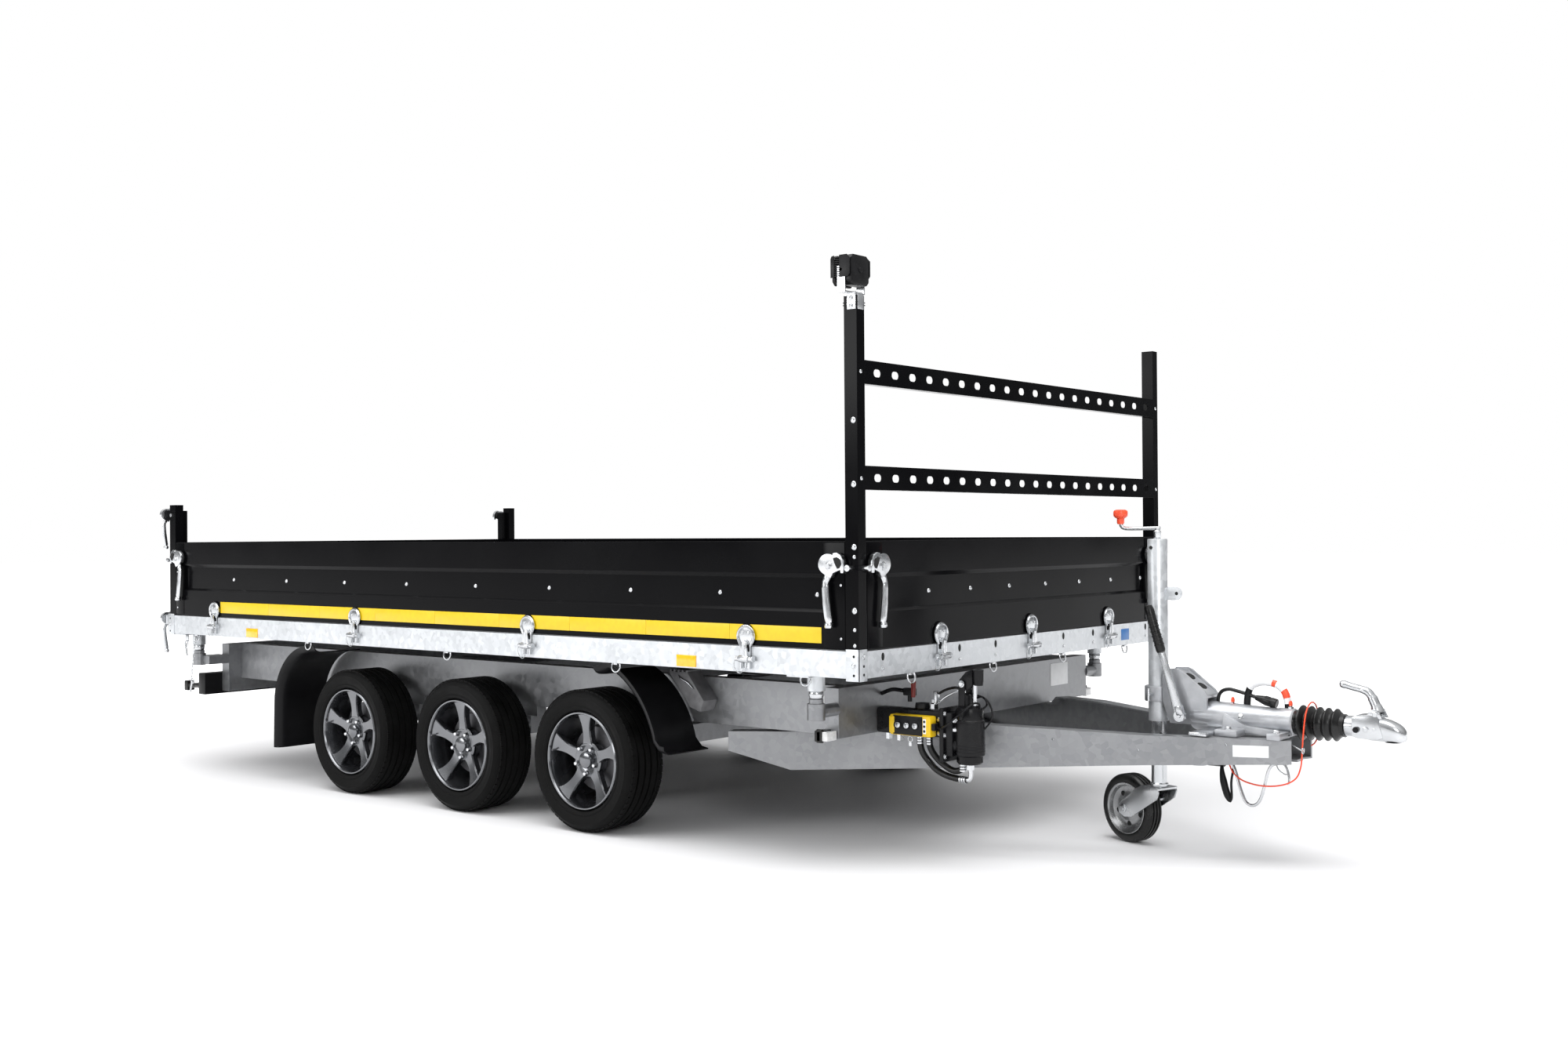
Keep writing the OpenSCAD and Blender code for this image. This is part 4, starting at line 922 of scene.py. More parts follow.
lathe(bm, [(0, 0), (9, 0), (8, 4), (0, 5)], move(lx + 36, ly, lz) @ onto_front, 20, 0)
piece(bm, "work_lamp_cast", "work_lamp", [lamp_black, lens_glass], ["work_lamp"])
bm = bmesh.new()
post_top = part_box("corner_posts")[1].z * 1000
box(bm, -36, -2, -1063, -1059.5, post_top - 44, post_top + 12, 1)
box(bm, -46, -4, -1063, -1022, post_top + 8, post_top + 11.5, 1)
for z in (post_top - 10, post_top - 34):
    bolt(bm, (-19, -1063, z), (0, -1, 0), 6, 3, 0)
box(bm, -1, 2.5, -1056, -1024, post_top - 44, post_top + 4, 1)
piece(bm, "lamp_clip", "bed", [bright_zinc])
bm = bmesh.new()
lead = curve([(lx - 30, ly + 10, lz + 14), (lx - 16, ly + 44, lz + 24), (lx - 10, ly + 62, lz + 2),
              (lx - 12, ly + 66, lz - 34), (lx - 6, ly + 48, lz - 70), (lx - 4, ly + 30, lz - 92)], 8)
tube(bm, lead, 2.6, 8)
for z in (post_top - 22, post_top - 30):
    band = [(-51.5, -1061.5, z), (1.5, -1061.5, z), (1.5, -1017.5, z), (-51.5, -1017.5, z),
            (-51.5, -1061.5, z)]
    tube(bm, band, 1.6, 6)
piece(bm, "lamp_lead", "bed", [guard_black])

# ---- Wheel chocks, lamps and plates ----
# A moulded grey chock in a wire clip on each chassis rail; clear front markers on rubber stalks; a rear lamp
# bar with red and amber lenses and outline markers on rubber arms; a plain data plate on the front beam.
chock_grey = surface("chock_grey", (0.10, 0.10, 0.105), (0.17, 0.17, 0.175), (0.45, 0.6), 0.0, 30.0, 0.3,
                     0.001)
rubber = surface("black_rubber", (0.003, 0.003, 0.003), (0.009, 0.009, 0.009), (0.22, 0.4), 0.0, 18.0, 0.05,
                 0.0008, gloss=0.35)
red_lens = surface("red_lens", (0.28, 0.004, 0.004), (0.4, 0.008, 0.006), (0.12, 0.22), 0.0, 70.0, coat=0.6)
clear_lens = surface("clear_lens", (0.62, 0.62, 0.62), (0.8, 0.8, 0.8), (0.08, 0.2), 0.0, 90.0, coat=0.6)
label_white = surface("plain_label", (0.75, 0.76, 0.77), (0.85, 0.86, 0.87), (0.35, 0.5), 0.0, 40.0)
bm = bmesh.new()
for side in (1, -1):
    one = bmesh.new()
    plate(one, [(-1008, 598), (-912, 598), (-832, 498), (-852, 457), (-902, 472)], 791, 868, 5)
    for i in range(5):
        x = -1000 + i * 20
        box(one, x, x + 8, 792, 867, 588, 604, 1.5)
    tube(one, curve([(-880, 872, 540), (-905, 874, 560), (-940, 874, 575), (-960, 860, 590)], 4), 3, 8, 1)
    if side < 0:
        bmesh.ops.transform(one, matrix=Matrix.Scale(-1, 4, (0, 1, 0)), verts=one.verts)
        bmesh.ops.reverse_faces(one, faces=one.faces)
    scratch = bpy.data.meshes.new("scratch")
    one.to_mesh(scratch)
    one.free()
    bm.from_mesh(scratch)
    bpy.data.meshes.remove(scratch)
piece(bm, "moulded_chocks", "chassis", [chock_grey, bright_zinc], ["wheel_chocks"])
bm = bmesh.new()
rear = -3991.3
box(bm, rear - 58, rear, -948, 948, 336, 438, 3)
for side in (1, -1):
    for y0, y1, m in ((662, 742, 1), (745, 820, 2), (823, 898, 1)):
        a, b = sorted((side * y0, side * y1))
        box(bm, rear - 84, rear - 57, a, b, 347, 428, 5, m)
    y = side * 925
    stalk = curve([(rear - 56, y, 372), (rear - 100, y, 374), (rear - 150, y, 370), (rear - 166, y, 370)], 4)
    tube(bm, stalk, [17, 16, 15, 14, 13, 12, 12, 12, 12, 13, 14, 15, 16], 14, 3)
    box(bm, rear - 196, rear - 164, y - 19, y + 19, 346, 394, 5, 3)
    lathe(bm, [(0, 0), (16, 0), (14, 6), (0, 9)],
          move(rear - 196, y, 370) @ Matrix.Rotation(-math.pi / 2, 4, "Y"), 24, 1)
    a, b = sorted((side * 857.5, side * 917))
    box(bm, -293, -266, a, b, 401, 439, 4, 3)
    box(bm, -267, -241, a + 3, b - 3, 404, 436, 4, 4)
    box(bm, -285, -262, min(side * 905, side * 917), max(side * 905, side * 917), 398, 444, 3, 3)
piece(bm, "lamp_set", "chassis", [guard_black, red_lens, amber, rubber, clear_lens], ["lamps"])
bm = bmesh.new()
box(bm, -235.6, -234, 560, 700, 470, 560, 0.5)
box(bm, -372, -300, -790.9, -790.2, 470, 540, 0.3)
piece(bm, "plain_plates", "chassis", [label_white])
bm = bmesh.new()
box(bm, -0.5, 0.7, 716, 784, 655, 700, 0.3)
piece(bm, "blue_sticker", "bed", [surface("sticker_blue", (0.02, 0.13, 0.38), (0.03, 0.17, 0.45), (0.3, 0.4),
                                          0.0, 50.0)])

# ---- Pump set ----
# A black steel tube stands out from the front beam and carries the yellow hand control. At its end a folded
# plate holds the valve block and hand pump; two braided hoses with crimped ends loop beneath.
pump_y = -600
pump_x = 115
machine_black = surface("machine_black", (0.002, 0.002, 0.0025), (0.007, 0.007, 0.008), (0.22, 0.4), 0.0,
                        22.0, 0.1, 0.0008, gloss=0.22)
control_yellow = surface("control_yellow", (0.72, 0.46, 0.0), (0.82, 0.54, 0.01), (0.32, 0.45), 0.0, 35.0,
                         0.1, 0.0008)
signal_red = surface("signal_red", (0.75, 0.06, 0.02), (0.85, 0.09, 0.03), (0.25, 0.38), 0.0, 40.0, 0.05)
valve_red = surface("valve_red", (0.12, 0.01, 0.008), (0.18, 0.016, 0.012), (0.3, 0.5), 0.0, 40.0)
bm = bmesh.new()
box(bm, -234, 36, -646, -594, 409, 499, 12)
box(bm, 34, 50, -661, -539, 331, 511, 3)
for y in (-650, -550):
    for z in (350, 420, 492):
        bolt(bm, (50, y, z), (1, 0, 0), 6, 4, 1)
box(bm, 50, 80, -652, -566, 352, 496, 5)
lathe(bm, [(0, 326), (38, 326), (44, 332), (44, 352), (50, 356), (51, 362), (51, 470), (47, 474), (47, 500),
           (43, 512), (30, 519), (0, 519)], move(pump_x, pump_y, 0), 48, 0)
for z in (366, 376, 386, 462):
    lathe(bm, [(50.5, z), (52, z + 1), (52, z + 4), (50.5, z + 5), (50.5, z)], move(pump_x, pump_y, 0), 48, 0)
lathe(bm, [(0, 517), (20, 517), (20, 552), (15, 558), (0, 558)], move(pump_x - 15, pump_y, 0), 28, 0)
for s in (-1, 1):
    y0, y1 = sorted((pump_y + s * 20.5, pump_y + s * 26))
    plate(bm, [(88, 519), (112, 519), (112, 592), (108, 600), (100, 604), (92, 600), (88, 592)], y0, y1, 1)
bolt(bm, (100, -626, 592), (0, -1, 0), 8, 5, 1)
bolt(bm, (100, -574, 592), (0, 1, 0), 8, 5, 1)
lathe(bm, [(0, 515), (7, 515), (7, 590), (0, 590)], move(142, pump_y - 8, 0), 20, 1)
box(bm, 132, 152, -620, -596, 508, 522, 3)
place = move(78, -628, 388) @ onto_front
lathe(bm, [(0, 0), (20, 0), (20, 8), (17, 12), (0, 12)], place, 28, 0)
lathe(bm, [(0, 10), (12.5, 10), (13, 16), (12, 21), (0, 22)], place, 28, 3)
for y, z in ((-640, 440), (-586, 452), (-640, 470)):
    lathe(bm, [(0, 0), (9, 0), (9, 10), (6, 14), (6, 22), (0, 22)], move(78, y, z) @ onto_front, 6, 1)
tube(bm, curve([(96, -586, 452), (110, -560, 470), (104, -540, 520), (60, -560, 560), (20, -585, 545),
                (-14, -590, 520)], 8), 4, 8, 1)
tube(bm, curve([(160, -584, 440), (176, -570, 466), (178, -560, 500), (150, -556, 540), (96, -566, 556)], 8),
     3.2, 8, 0)
lathe(bm, [(0, 0), (14, 0), (14, 18), (10, 22), (10, 34), (0, 34)], move(-20, -606, 499), 6, 1)
lathe(bm, [(0, 0), (24, 0), (26, 6), (24, 20), (0, 22)], move(-60, -618, 499), 28, 0)
box(bm, -22, -8, -612, -590, 520, 560, 3, 1)
tube(bm, curve([(-8, -596, 552), (20, -596, 566), (60, -600, 576), (84, -600, 572)], 6), 4.5, 8, 0)
box(bm, -136, -92, -626, -604, 540, 566, 4, 0)
tube(bm, [(-114, -615, 520), (-114, -615, 552)], 8, 10, 0)
plate(bm, [(-96, 536), (-84, 536), (-80, 592), (-98, 592)], -634, -624, 3, 4)
tube(bm, curve([(-234, -612, 540), (-190, -614, 556), (-150, -615, 556), (-120, -615, 552)], 5), 7, 10, 0)
for x, z in ((-196, 388), (-150, 386)):
    lathe(bm, [(0, 0), (13, 0), (13, 22), (0, 22)], move(x, -620, z), 6, 1)
piece(bm, "pump_set", "chassis", [machine_black, bright_zinc, rubber, signal_red, valve_red],
      ["power_pack"])

bm = bmesh.new()
near = -685
box(bm, -150, 15, near, -647, 413, 483, 7, 0)
box(bm, -134, -16, near - 2.5, near + 1, 416, 480, 2, 1)
box(bm, -150, -128, near - 4, near + 4, 420, 476, 3, 0)
for x in (-115, -80, -45):
    lathe(bm, [(12, 0), (15, 0), (15, 4), (12, 4), (12, 0)], move(x, near - 1.5, 448) @ onto_near, 28, 1)
box(bm, -14, -2, near - 1.5, near + 1, 424, 474, 1, 3)
for i in range(3):
    lathe(bm, [(0, 0), (4.5, 0), (4.5, 0.5), (0, 0.5)], move(-8, near - 1.4, 433 + 16 * i) @ onto_near, 16, 1)
for x, z in ((24, 470), (24, 426)):
    bolt(bm, (x, -646, z), (0, -1, 0), 6, 4, 2)
box(bm, 14, 30, -680, -652, 436, 460, 4, 1)
tube(bm, [Vector((-62 + 9 * math.sin(a), near - 5, 404 + 9 * math.cos(a))) for a in full_turn], 1.3, 6, 2)
box(bm, -68, -56, near - 6, near - 3, 380, 398, 1.5, 2)
loop = curve([(28, -668, 448), (50, -676, 446), (84, -688, 462), (128, -680, 500), (160, -650, 532),
              (166, -620, 528), (150, -590, 505), (166, -575, 520), (172, -590, 540), (140, -570, 548),
              (100, -560, 530)], 7)
tube(bm, loop, 3.6, 8, 1)
piece(bm, "hand_control", "chassis", [control_yellow, machine_black, bright_zinc, label_white])

for name in ("up", "down", "stop"):
    low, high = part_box(f"button_{name}")
    bm = bmesh.new()
    x = ((low.x + high.x) / 2 - front_face) * 1000
    place = move(x, low.y * 1000, 448) @ Matrix.Rotation(-math.pi / 2, 4, "X")
    lathe(bm, [(0, 0.6), (8, 0), (10, 1), (11, 2.6), (11, 6.5), (0, 6.5)], place, 32, 0)
    box(bm, x - 1.2, x + 1.2, low.y * 1000 - 0.3, low.y * 1000 + 1.5, 442, 454, 0.4, 1)
    piece(bm, f"button_{name}_cap", f"button_{name}", [bright_zinc, machine_black], [f"button_{name}"])

bm = bmesh.new()
place = move(150, pump_y, 0)
lathe(bm, [(12.1, 601), (17, 598), (18, 604), (18, 634), (19, 636), (19, 640), (12.1, 640), (12.1, 601)],
      place, 32)
lathe(bm, [(0, 588), (16, 588), (17, 600), (12.1, 601), (0, 601)], place, 32)
plate(bm, [(90, 572), (84, 588), (88, 606), (112, 632), (134, 640), (138, 640), (138, 588), (118, 572)], -619,
      -581, 5)
lathe(bm, [(0, -18), (15, -18), (16, -14), (16, 14), (15, 18), (0, 18)], move(100, pump_y, 592) @ onto_y, 28)
piece(bm, "hand_pump_socket", "hand_pump_lever", [machine_black], ["hand_pump_lever"])

# ---- Hoses ----
# Two high-pressure hoses, 22 mm, between the tube and the pump, each with crimped zinc ferrules and the low
# one ending in a bent zinc pipe under the pump. Their routes are the design's own.
hose_low = [(-150, -620, 407), (-150, -619, 380), (-144, -612, 348), (-126, -600, 318), (-98, -600, 295),
            (-62, -600, 280), (-25, -600, 273), (8, -600, 271), (23, -600, 271)]
hose_high = [(-112, -620, 407), (-112, -619, 382), (-106, -612, 356), (-90, -604, 332), (-66, -600, 313),
             (-42, -600, 301), (-20, -600, 297), (0, -600, 303), (8, -600, 313), (8, -600, 324)]
bm = bmesh.new()
for line in (hose_low, hose_high):
    line = [Vector(p) + Vector((80, 0, 0)) for p in line]
    tube(bm, curve(line, 4), 11, 16)
    for end, inner in ((0, 1), (-1, -2)):
        out = (line[end] - line[inner]).normalized()
        for k in range(3):
            tube(bm, [line[end] - out * (8 + 9 * k), line[end] - out * (2 + 9 * k)], 12.6, 16, 1)
elbow = curve([(100, -600, 271), (112, -600, 273), (118, -600, 284), (118, -600, 304), (118, -600, 328)], 6)
tube(bm, elbow, 8, 12, 1)
lathe(bm, [(0, 0), (14, 0), (14, 16), (0, 16)], move(118, -600, 306), 6, 1)
piece(bm, "braided_hoses", "chassis", [rubber, bright_zinc], ["hydraulic_hoses"])

# ---- Overrun unit ----
# A silver-painted casting bolted across the drawbar's nose: a conical housing with two grease nipples under
# red caps, a wedge that braces the jockey wheel's clamp, bolted feet, and a striped hose guard over it.
cast_silver = surface("cast_silver", (0.34, 0.35, 0.37), (0.5, 0.51, 0.53), (0.3, 0.44), 0.7, 14.0, 0.35,
                      0.001)
tube_z = 468
bm = bmesh.new()
lathe(bm, [(26, 640), (46, 640), (50, 650), (51, 700), (49, 760), (43, 880), (41, 930), (43, 936), (44, 984),
           (40, 989), (26, 989), (26, 640)], move(0, 0, tube_z) @ onto_front, 48)
wedge = [(541, 512), (541, 600), (552, 624), (596, 626), (612, 620), (694, 556), (702, 544), (702, 440),
         (568, 440)]
for y0, y1 in ((-46, -36), (36, 46)):
    plate(bm, wedge, y0, y1, 2)
plate(bm, [(552, 618), (596, 618), (694, 548), (702, 540), (702, 530), (690, 536), (592, 608), (552, 610)],
      -40, 40, 2)
plate(bm, [(541, 508), (552, 508), (560, 612), (548, 620)], -40, 40, 2)
# Two thin dark ovals on the wedge's slope stand for its oval holes: painted shade.
slope = move(645, 0, 584) @ Matrix.Rotation(math.radians(36), 4, "Y") @ onto_near
for x in (-26, 26):
    oval = [(x + 17 * math.cos(2 * math.pi * k / 20), 24 * math.sin(2 * math.pi * k / 20)) for k in range(20)]
    plate(bm, oval, -1.6, -0.4, 0, 2, slope)
for sign in (-1, 1):
    for x0, x1 in ((762, 840), (938, 984)):
        y0, y1 = sorted((sign * 34, sign * 128))
        box(bm, x0, x1, y0, y1, 418, 441, 6)
        bolt(bm, ((x0 + x1) / 2, sign * 100, 441), (0, 0, 1), 9, 7, 1, 2)
    y0, y1 = sorted((sign * 26, sign * 60))
    plate(bm, [(756, 421), (984, 421), (984, 436), (840, 452), (764, 486)], y0, y1, 5)
box(bm, 700, 762, -188, 188, 421.5, 434, 3, 1)
box(bm, 702, 984, -30, 30, 421.5, 450, 4)
lathe(bm, [(34.2, 508), (46, 508), (47, 512), (47, 556), (46, 560), (34.2, 560), (34.2, 508)],
      move(505, 0, 0), 48)
box(bm, 500, 548, -22, 22, 514, 554, 4)
tube(bm, [(505, -50, 534), (505, -78, 534)], 6, 10, 1)
tube(bm, [(505, -78, 514), (505, -78, 556)], 5, 10, 1)
for x in (774, 972):
    lathe(bm, [(0, 508), (10, 508), (10, 516), (5, 518), (5, 521), (0, 521)], move(x, 0, 0), 6, 1)
    lathe(bm, [(0, 520), (6, 520), (6, 530), (3.5, 536), (0, 537)], move(x, 0, 0), 16, 3)
bolt(bm, (820, -42, 480), (0, -1, 0.6), 8, 6, 1)
tube(bm, [(620, -92, 470), (620, -40, 470)], 6, 12, 1)
piece(bm, "overrun_casting", "chassis", [cast_silver, bright_zinc, hole_shade, signal_red],
      ["overrun_housing"])

bm = bmesh.new()
arch = curve([(818, 14, 500), (820, 14, 540), (832, 14, 574), (862, 14, 589), (893, 14, 591), (925, 14, 583),
              (947, 14, 562), (957, 14, 530), (958, 14, 506)], 5)
bands = [(0, 9, 1), (9, 22, 0), (22, 24, 2), (24, 29, 0), (29, 33, 2), (33, 36, 0), (36, 40, 1)]
for a, b, m in bands:
    tube(bm, arch[a:b + 1], 12 if m != 1 else 11.5, 16, m)
for x in (818, 958):
    box(bm, x - 18, x + 18, 0, 28, 497, 509, 4, 1)
piece(bm, "striped_arch", "chassis", [label_white, machine_black, signal_red])

# ---- Drawbar fittings ----
# Under the nose: a bent round-bar strap that holds the safety chain, a black plastic hook, the brake
# compensator's housing, a guide ring for the red cable, a steel R-clip, bolts, and a plain white label.
bm = bmesh.new()
strap_line = curve([(752, -60, 340), (786, -60, 334), (806, -60, 300), (824, -60, 240), (842, -60, 200),
                    (866, -60, 191), (888, -60, 208), (904, -60, 252), (918, -60, 306), (934, -60, 330),
                    (966, -60, 338), (986, -60, 340)], 5)
tube(bm, strap_line, 5, 10, 0, 1.4)
tube(bm, curve([(974, -66, 338), (986, -68, 318), (992, -70, 290), (990, -70, 272)], 5), 4, 8, 0)
tube(bm, curve([(944, -58, 336), (952, -60, 318), (970, -64, 306), (984, -68, 304)], 5), 2, 8, 0)
tube(bm, curve([(758, -50, 338), (756, -52, 300), (762, -54, 262), (774, -56, 222), (786, -58, 200),
                (792, -58, 212), (790, -56, 260), (796, -54, 300), (800, -52, 330)], 5),
     [4] * 4 + [6, 7, 8, 9, 10, 11, 12, 12, 12, 12, 12, 12, 12, 11, 10, 9, 8, 7] + [4] * 19, 10, 1)
for x, y in ((976, -60), (956, -30), (900, 50)):
    bolt(bm, (x, y, 341), (0, 0, -1), 8, 7, 0, 2)
tube(bm, [Vector((1044, -86 + 9 * math.cos(a), 388 + 9 * math.sin(a))) for a in full_turn], 2, 8, 0)
tube(bm, curve([(990, -70, 400), (1010, -74, 398), (1032, -78, 390), (1044, -80, 389)], 4), 3, 8, 0)
lathe(bm, [(0, -30), (26, -30), (30, -22), (30, 34), (24, 42), (0, 42)], move(660, -20, 332), 32, 2)
lathe(bm, [(0, 0), (20, 0), (22, 6), (22, 60), (14, 66), (0, 66)], move(700, -40, 328) @ onto_front, 24, 3)
tube(bm, curve([(640, -50, 330), (600, -56, 350), (560, -50, 380), (530, -40, 400)], 5), 5, 8, 3)
leg_turn = math.radians(21.7)
leg_out = (-math.sin(leg_turn), -math.cos(leg_turn), 0)
for x in (300, 560, 820):
    y = -(90 + (1008 - x) * math.tan(leg_turn))
    bolt(bm, (x, y - 0.3, 398 if x != 560 else 372), leg_out, 5, 3, 0, 0)
piece(bm, "drawbar_fittings", "chassis", [bright_zinc, machine_black, cast_silver, rubber])
bm = bmesh.new()
leg = move(1008, -90, 0) @ Matrix.Rotation(math.pi + leg_turn, 4, "Z")
box(bm, 70, 182, 0.2, 0.8, 360, 398, 0.2, 0, leg)
piece(bm, "plain_label", "chassis", [label_white])

# ---- Coupling ----
# A drop-forged, zinc-plated 50 mm ball coupling on the drawtube, with a domed nose, a dark indicator button,
# and a curved pressed handle. A rubber bellows with five folds keeps dirt off the tube.
bm = bmesh.new()
lathe(bm, [(0, 740), (24.9, 740), (24.9, 1176), (0, 1176)], move(0, 0, tube_z) @ onto_front, 40)
lathe(bm, [(0, 1152), (31, 1152), (33, 1156), (33, 1206), (29, 1216), (0, 1216)],
      move(0, 0, tube_z) @ onto_front, 40)
rows = []
part = bmesh.new()
sections = [(1196, 32, 436, 500), (1212, 33, 432, 504), (1236, 34, 428, 506), (1262, 34, 427, 502),
            (1288, 34, 426.5, 496), (1306, 33, 426.5, 489), (1320, 30, 427, 482), (1330, 25, 428, 474),
            (1337, 18, 431, 464), (1340.5, 9, 436, 454)]
for x, w, low, high in sections:
    mid, tall = (low + high) / 2, (high - low) / 2
    rows.append([part.verts.new((x, w * math.copysign(abs(math.cos(a)) ** 0.6, math.cos(a)),
                                 mid + tall * math.copysign(abs(math.sin(a)) ** 0.6, math.sin(a))))
                 for a in [2 * math.pi * (k + 0.5) / 28 for k in range(28)]])
for a, b in zip(rows, rows[1:]):
    for k in range(28):
        part.faces.new((a[k], a[(k + 1) % 28], b[(k + 1) % 28], b[k]))
part.faces.new(rows[0])
part.faces.new(rows[-1])
join(bm, part)
plate(bm, [(1180, 440), (1180, 500), (1196, 508), (1240, 512), (1262, 508), (1280, 440), (1262, 434),
           (1200, 434)], -36, 36, 5)
for y0, y1 in ((-31, -25), (25, 31)):
    plate(bm, [(1222, 500), (1236, 524), (1246, 529), (1264, 527), (1276, 500)], y0, y1, 1.5)
bolt(bm, (1254, -31, 513), (0, -1, 0), 8, 5, 0)
lathe(bm, [(0, 0), (9, 0), (10, 3), (9, 8), (0, 10)], move(1196, -36, 462) @ onto_near, 20, 1)
bolt(bm, (1226, -36, 464), (0, -1, 0), 7, 5, 0, 1)
bolt(bm, (1252, -35, 466), (0, -1, 0), 5, 4, 0, 0)
# A thin black disc under the head stands for the ball socket's mouth: painted shade.
lathe(bm, [(0, 426), (25, 426), (25, 427), (0, 427)], move(1300, 0, 0), 32, 1)
piece(bm, "ball_coupling", "coupling", [bright_zinc, machine_black], ["coupling_head"])
bm = bmesh.new()
handle = curve([(1254, 0, 516), (1246, 0, 540), (1236, 0, 562), (1222, 0, 580), (1200, 0, 588),
                (1172, 0, 594), (1148, 0, 600), (1134, 0, 601)], 5)
tube(bm, handle, [20, 20, 19, 18, 17] + [15] * 6 + [13] * 8 + [12] * 10 + [13] * 3 + [12, 11, 9, 6], 14, 0,
     1.25)
for x, z in ((1160, 607), (1176, 603), (1192, 600)):
    box(bm, x - 4, x + 4, -10, 10, z - 4, z + 1, 1.5, 1)
piece(bm, "pressed_handle", "coupling_handle", [bright_zinc, zinc_dip], ["coupling_handle"])

bellows_low, bellows_high = (v.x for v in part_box("bellows"))
x0, x1 = (bellows_low - front_face) * 1000, (bellows_high - front_face) * 1000
bm = bmesh.new()
folds = 5
outer = [(40, 0), (40, 10)]
for i in range(folds):
    base = 10 + i * (x1 - x0 - 24) / folds
    step = (x1 - x0 - 24) / folds
    peak = 57 - 1.2 * i
    outer += [(41, base + 1), (peak - 5, base + step * 0.32), (peak, base + step * 0.45),
              (peak, base + step * 0.55), (peak - 5, base + step * 0.68), (41, base + step - 1)]
outer += [(37, x1 - x0 - 12), (37, x1 - x0), (31, x1 - x0), (31, 0), (40, 0)]
lathe(bm, outer, move(x0, 0, tube_z) @ onto_front, 56)
bellows = piece(bm, "rubber_bellows", "chassis", [rubber], ["bellows"], 50)
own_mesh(bellows)

# ---- Handbrake ----
# A plated flat-bar lever on the housing's side with a ribbed black grip; it leans back past the jockey post.
bm = bmesh.new()
lean = move(620, 0, 470) @ Matrix.Rotation(math.radians(-17), 4, "Y")
plate(bm, [(-20, -14), (20, -14), (17, 20), (13, 120), (12, 236), (-12, 236), (-13, 120), (-17, 20)], -84,
      -76, 2, 0, lean)
lathe(bm, [(6.1, -9), (19, -9), (19, 9), (6.1, 9), (6.1, -9)], move(620, -80, 470) @ onto_y, 28, 0)
lathe(bm, [(0, 222), (13, 222), (16, 230), (15, 300), (16.5, 350), (17, 372), (13, 386), (0, 390)],
      lean @ move(0, -80, 0), 28, 1)
for i in range(7):
    lathe(bm, [(15, 0), (17.2, 1), (17.2, 5), (15, 6), (15, 0)], lean @ move(0, -80, 246 + i * 16), 28, 1)
box(bm, -6, 18, -92, -68, 0, 34, 3, 0, lean)
piece(bm, "brake_lever", "handbrake", [bright_zinc, rubber], ["handbrake_lever"])

# ---- Jockey wheel ----
# Galvanised outer tube with a pierced tab, its hole a dark disc of painted shade; plated inner tube and
# offset fork; a solid grooved rubber tyre on a pressed steel rim, its holes dark discs of painted shade; and
# a cranked round-bar handle with a red knob.
jx = 505
tail = 373
castor_turn = math.radians(-19)
castor = move(jx, 0, 0) @ Matrix.Rotation(castor_turn, 4, "Z") @ move(-jx, 0, 0)
bm = bmesh.new()
lathe(bm, [(26.4, 440), (34, 440), (34, 1064), (32, 1068), (8.2, 1068), (8.2, 1062), (26.4, 1060),
           (26.4, 440)], move(jx, 0, 0), 48)
tab = [(533, 858), (560, 856)] + [(572 + 24 * math.cos(math.radians(a)),
                                   880 + 24 * math.sin(math.radians(a))) for a in range(-70, 71, 14)]
tab += [(560, 904), (533, 900)]
plate(bm, tab, -3, 3, 1)
# Dark discs for the tab's hole and for a hole near the tube's top: painted shade.
lathe(bm, [(0, -3.3), (6, -3.3), (6, 3.3), (0, 3.3)], move(576, 0, 880) @ onto_y, 20, 1)
lathe(bm, [(0, 0), (7, 0), (6, 4), (0, 5)], move(jx - 8, -32, 1038) @ onto_near, 16, 1)
piece(bm, "jockey_post", "chassis", [zinc_dip, hole_shade], ["jockey_tube"])
bm = bmesh.new()
box(bm, jx - 41, jx + 41, -45, 45, 204, 213, 2)
blade = [(jx - 44, 212), (jx + 36, 212), (jx + 40, 196), (jx + 30, 172), (jx - 20, 140), (tail + 40, 96),
         (tail + 6, 92), (tail - 20, 104), (tail - 24, 126), (tail - 8, 146), (jx - 70, 198)]
for y0, y1 in ((-46, -40), (40, 46)):
    plate(bm, blade, y0, y1, 2)
for y in (-46, 46):
    bolt(bm, (tail, y, 120), (0, math.copysign(1, y), 0), 11, 6, 0, 2)
tube(bm, [(jx - 30, -42, 158), (jx - 30, 42, 158)], 6, 12)
tube(bm, [(tail, -45, 120), (tail, 45, 120)], 9.8, 20)
lathe(bm, [(0, 213), (31, 213), (31, 222), (26, 226), (0, 226)], move(jx, 0, 0), 36)
bmesh.ops.transform(bm, matrix=castor, verts=bm.verts)
piece(bm, "jockey_fork_pressed", "jockey_fork", [bright_zinc], ["jockey_fork"])
bm = bmesh.new()
wheel = move(tail, 0, 120) @ onto_y
pressed_rim = surface("pressed_rim", (0.28, 0.285, 0.29), (0.42, 0.425, 0.43), (0.2, 0.34), 0.9, 16.0, 0.0,
                      0.0008)
side = [(86, -28), (92, -32), (104, -33), (112, -31), (117, -26)]
tread = [(119.5, -22), (119.5, -17), (115.5, -16), (115.5, -12), (119.8, -11), (119.8, -4), (116, -3)]
half = side + tread
lathe(bm, half + [(r, -w) for r, w in reversed(half)] + [half[0]], wheel, 72, 0)
rim = [(86.5, -29), (90, -33), (88, -34), (82, -31), (76, -18), (60, -12), (44, -14), (30, -26), (20, -33),
       (10.2, -33)]
lathe(bm, rim + [(10.2, 33)] + [(r, -w) for r, w in reversed(rim[:-1])] + [rim[0]], wheel, 64, 1)
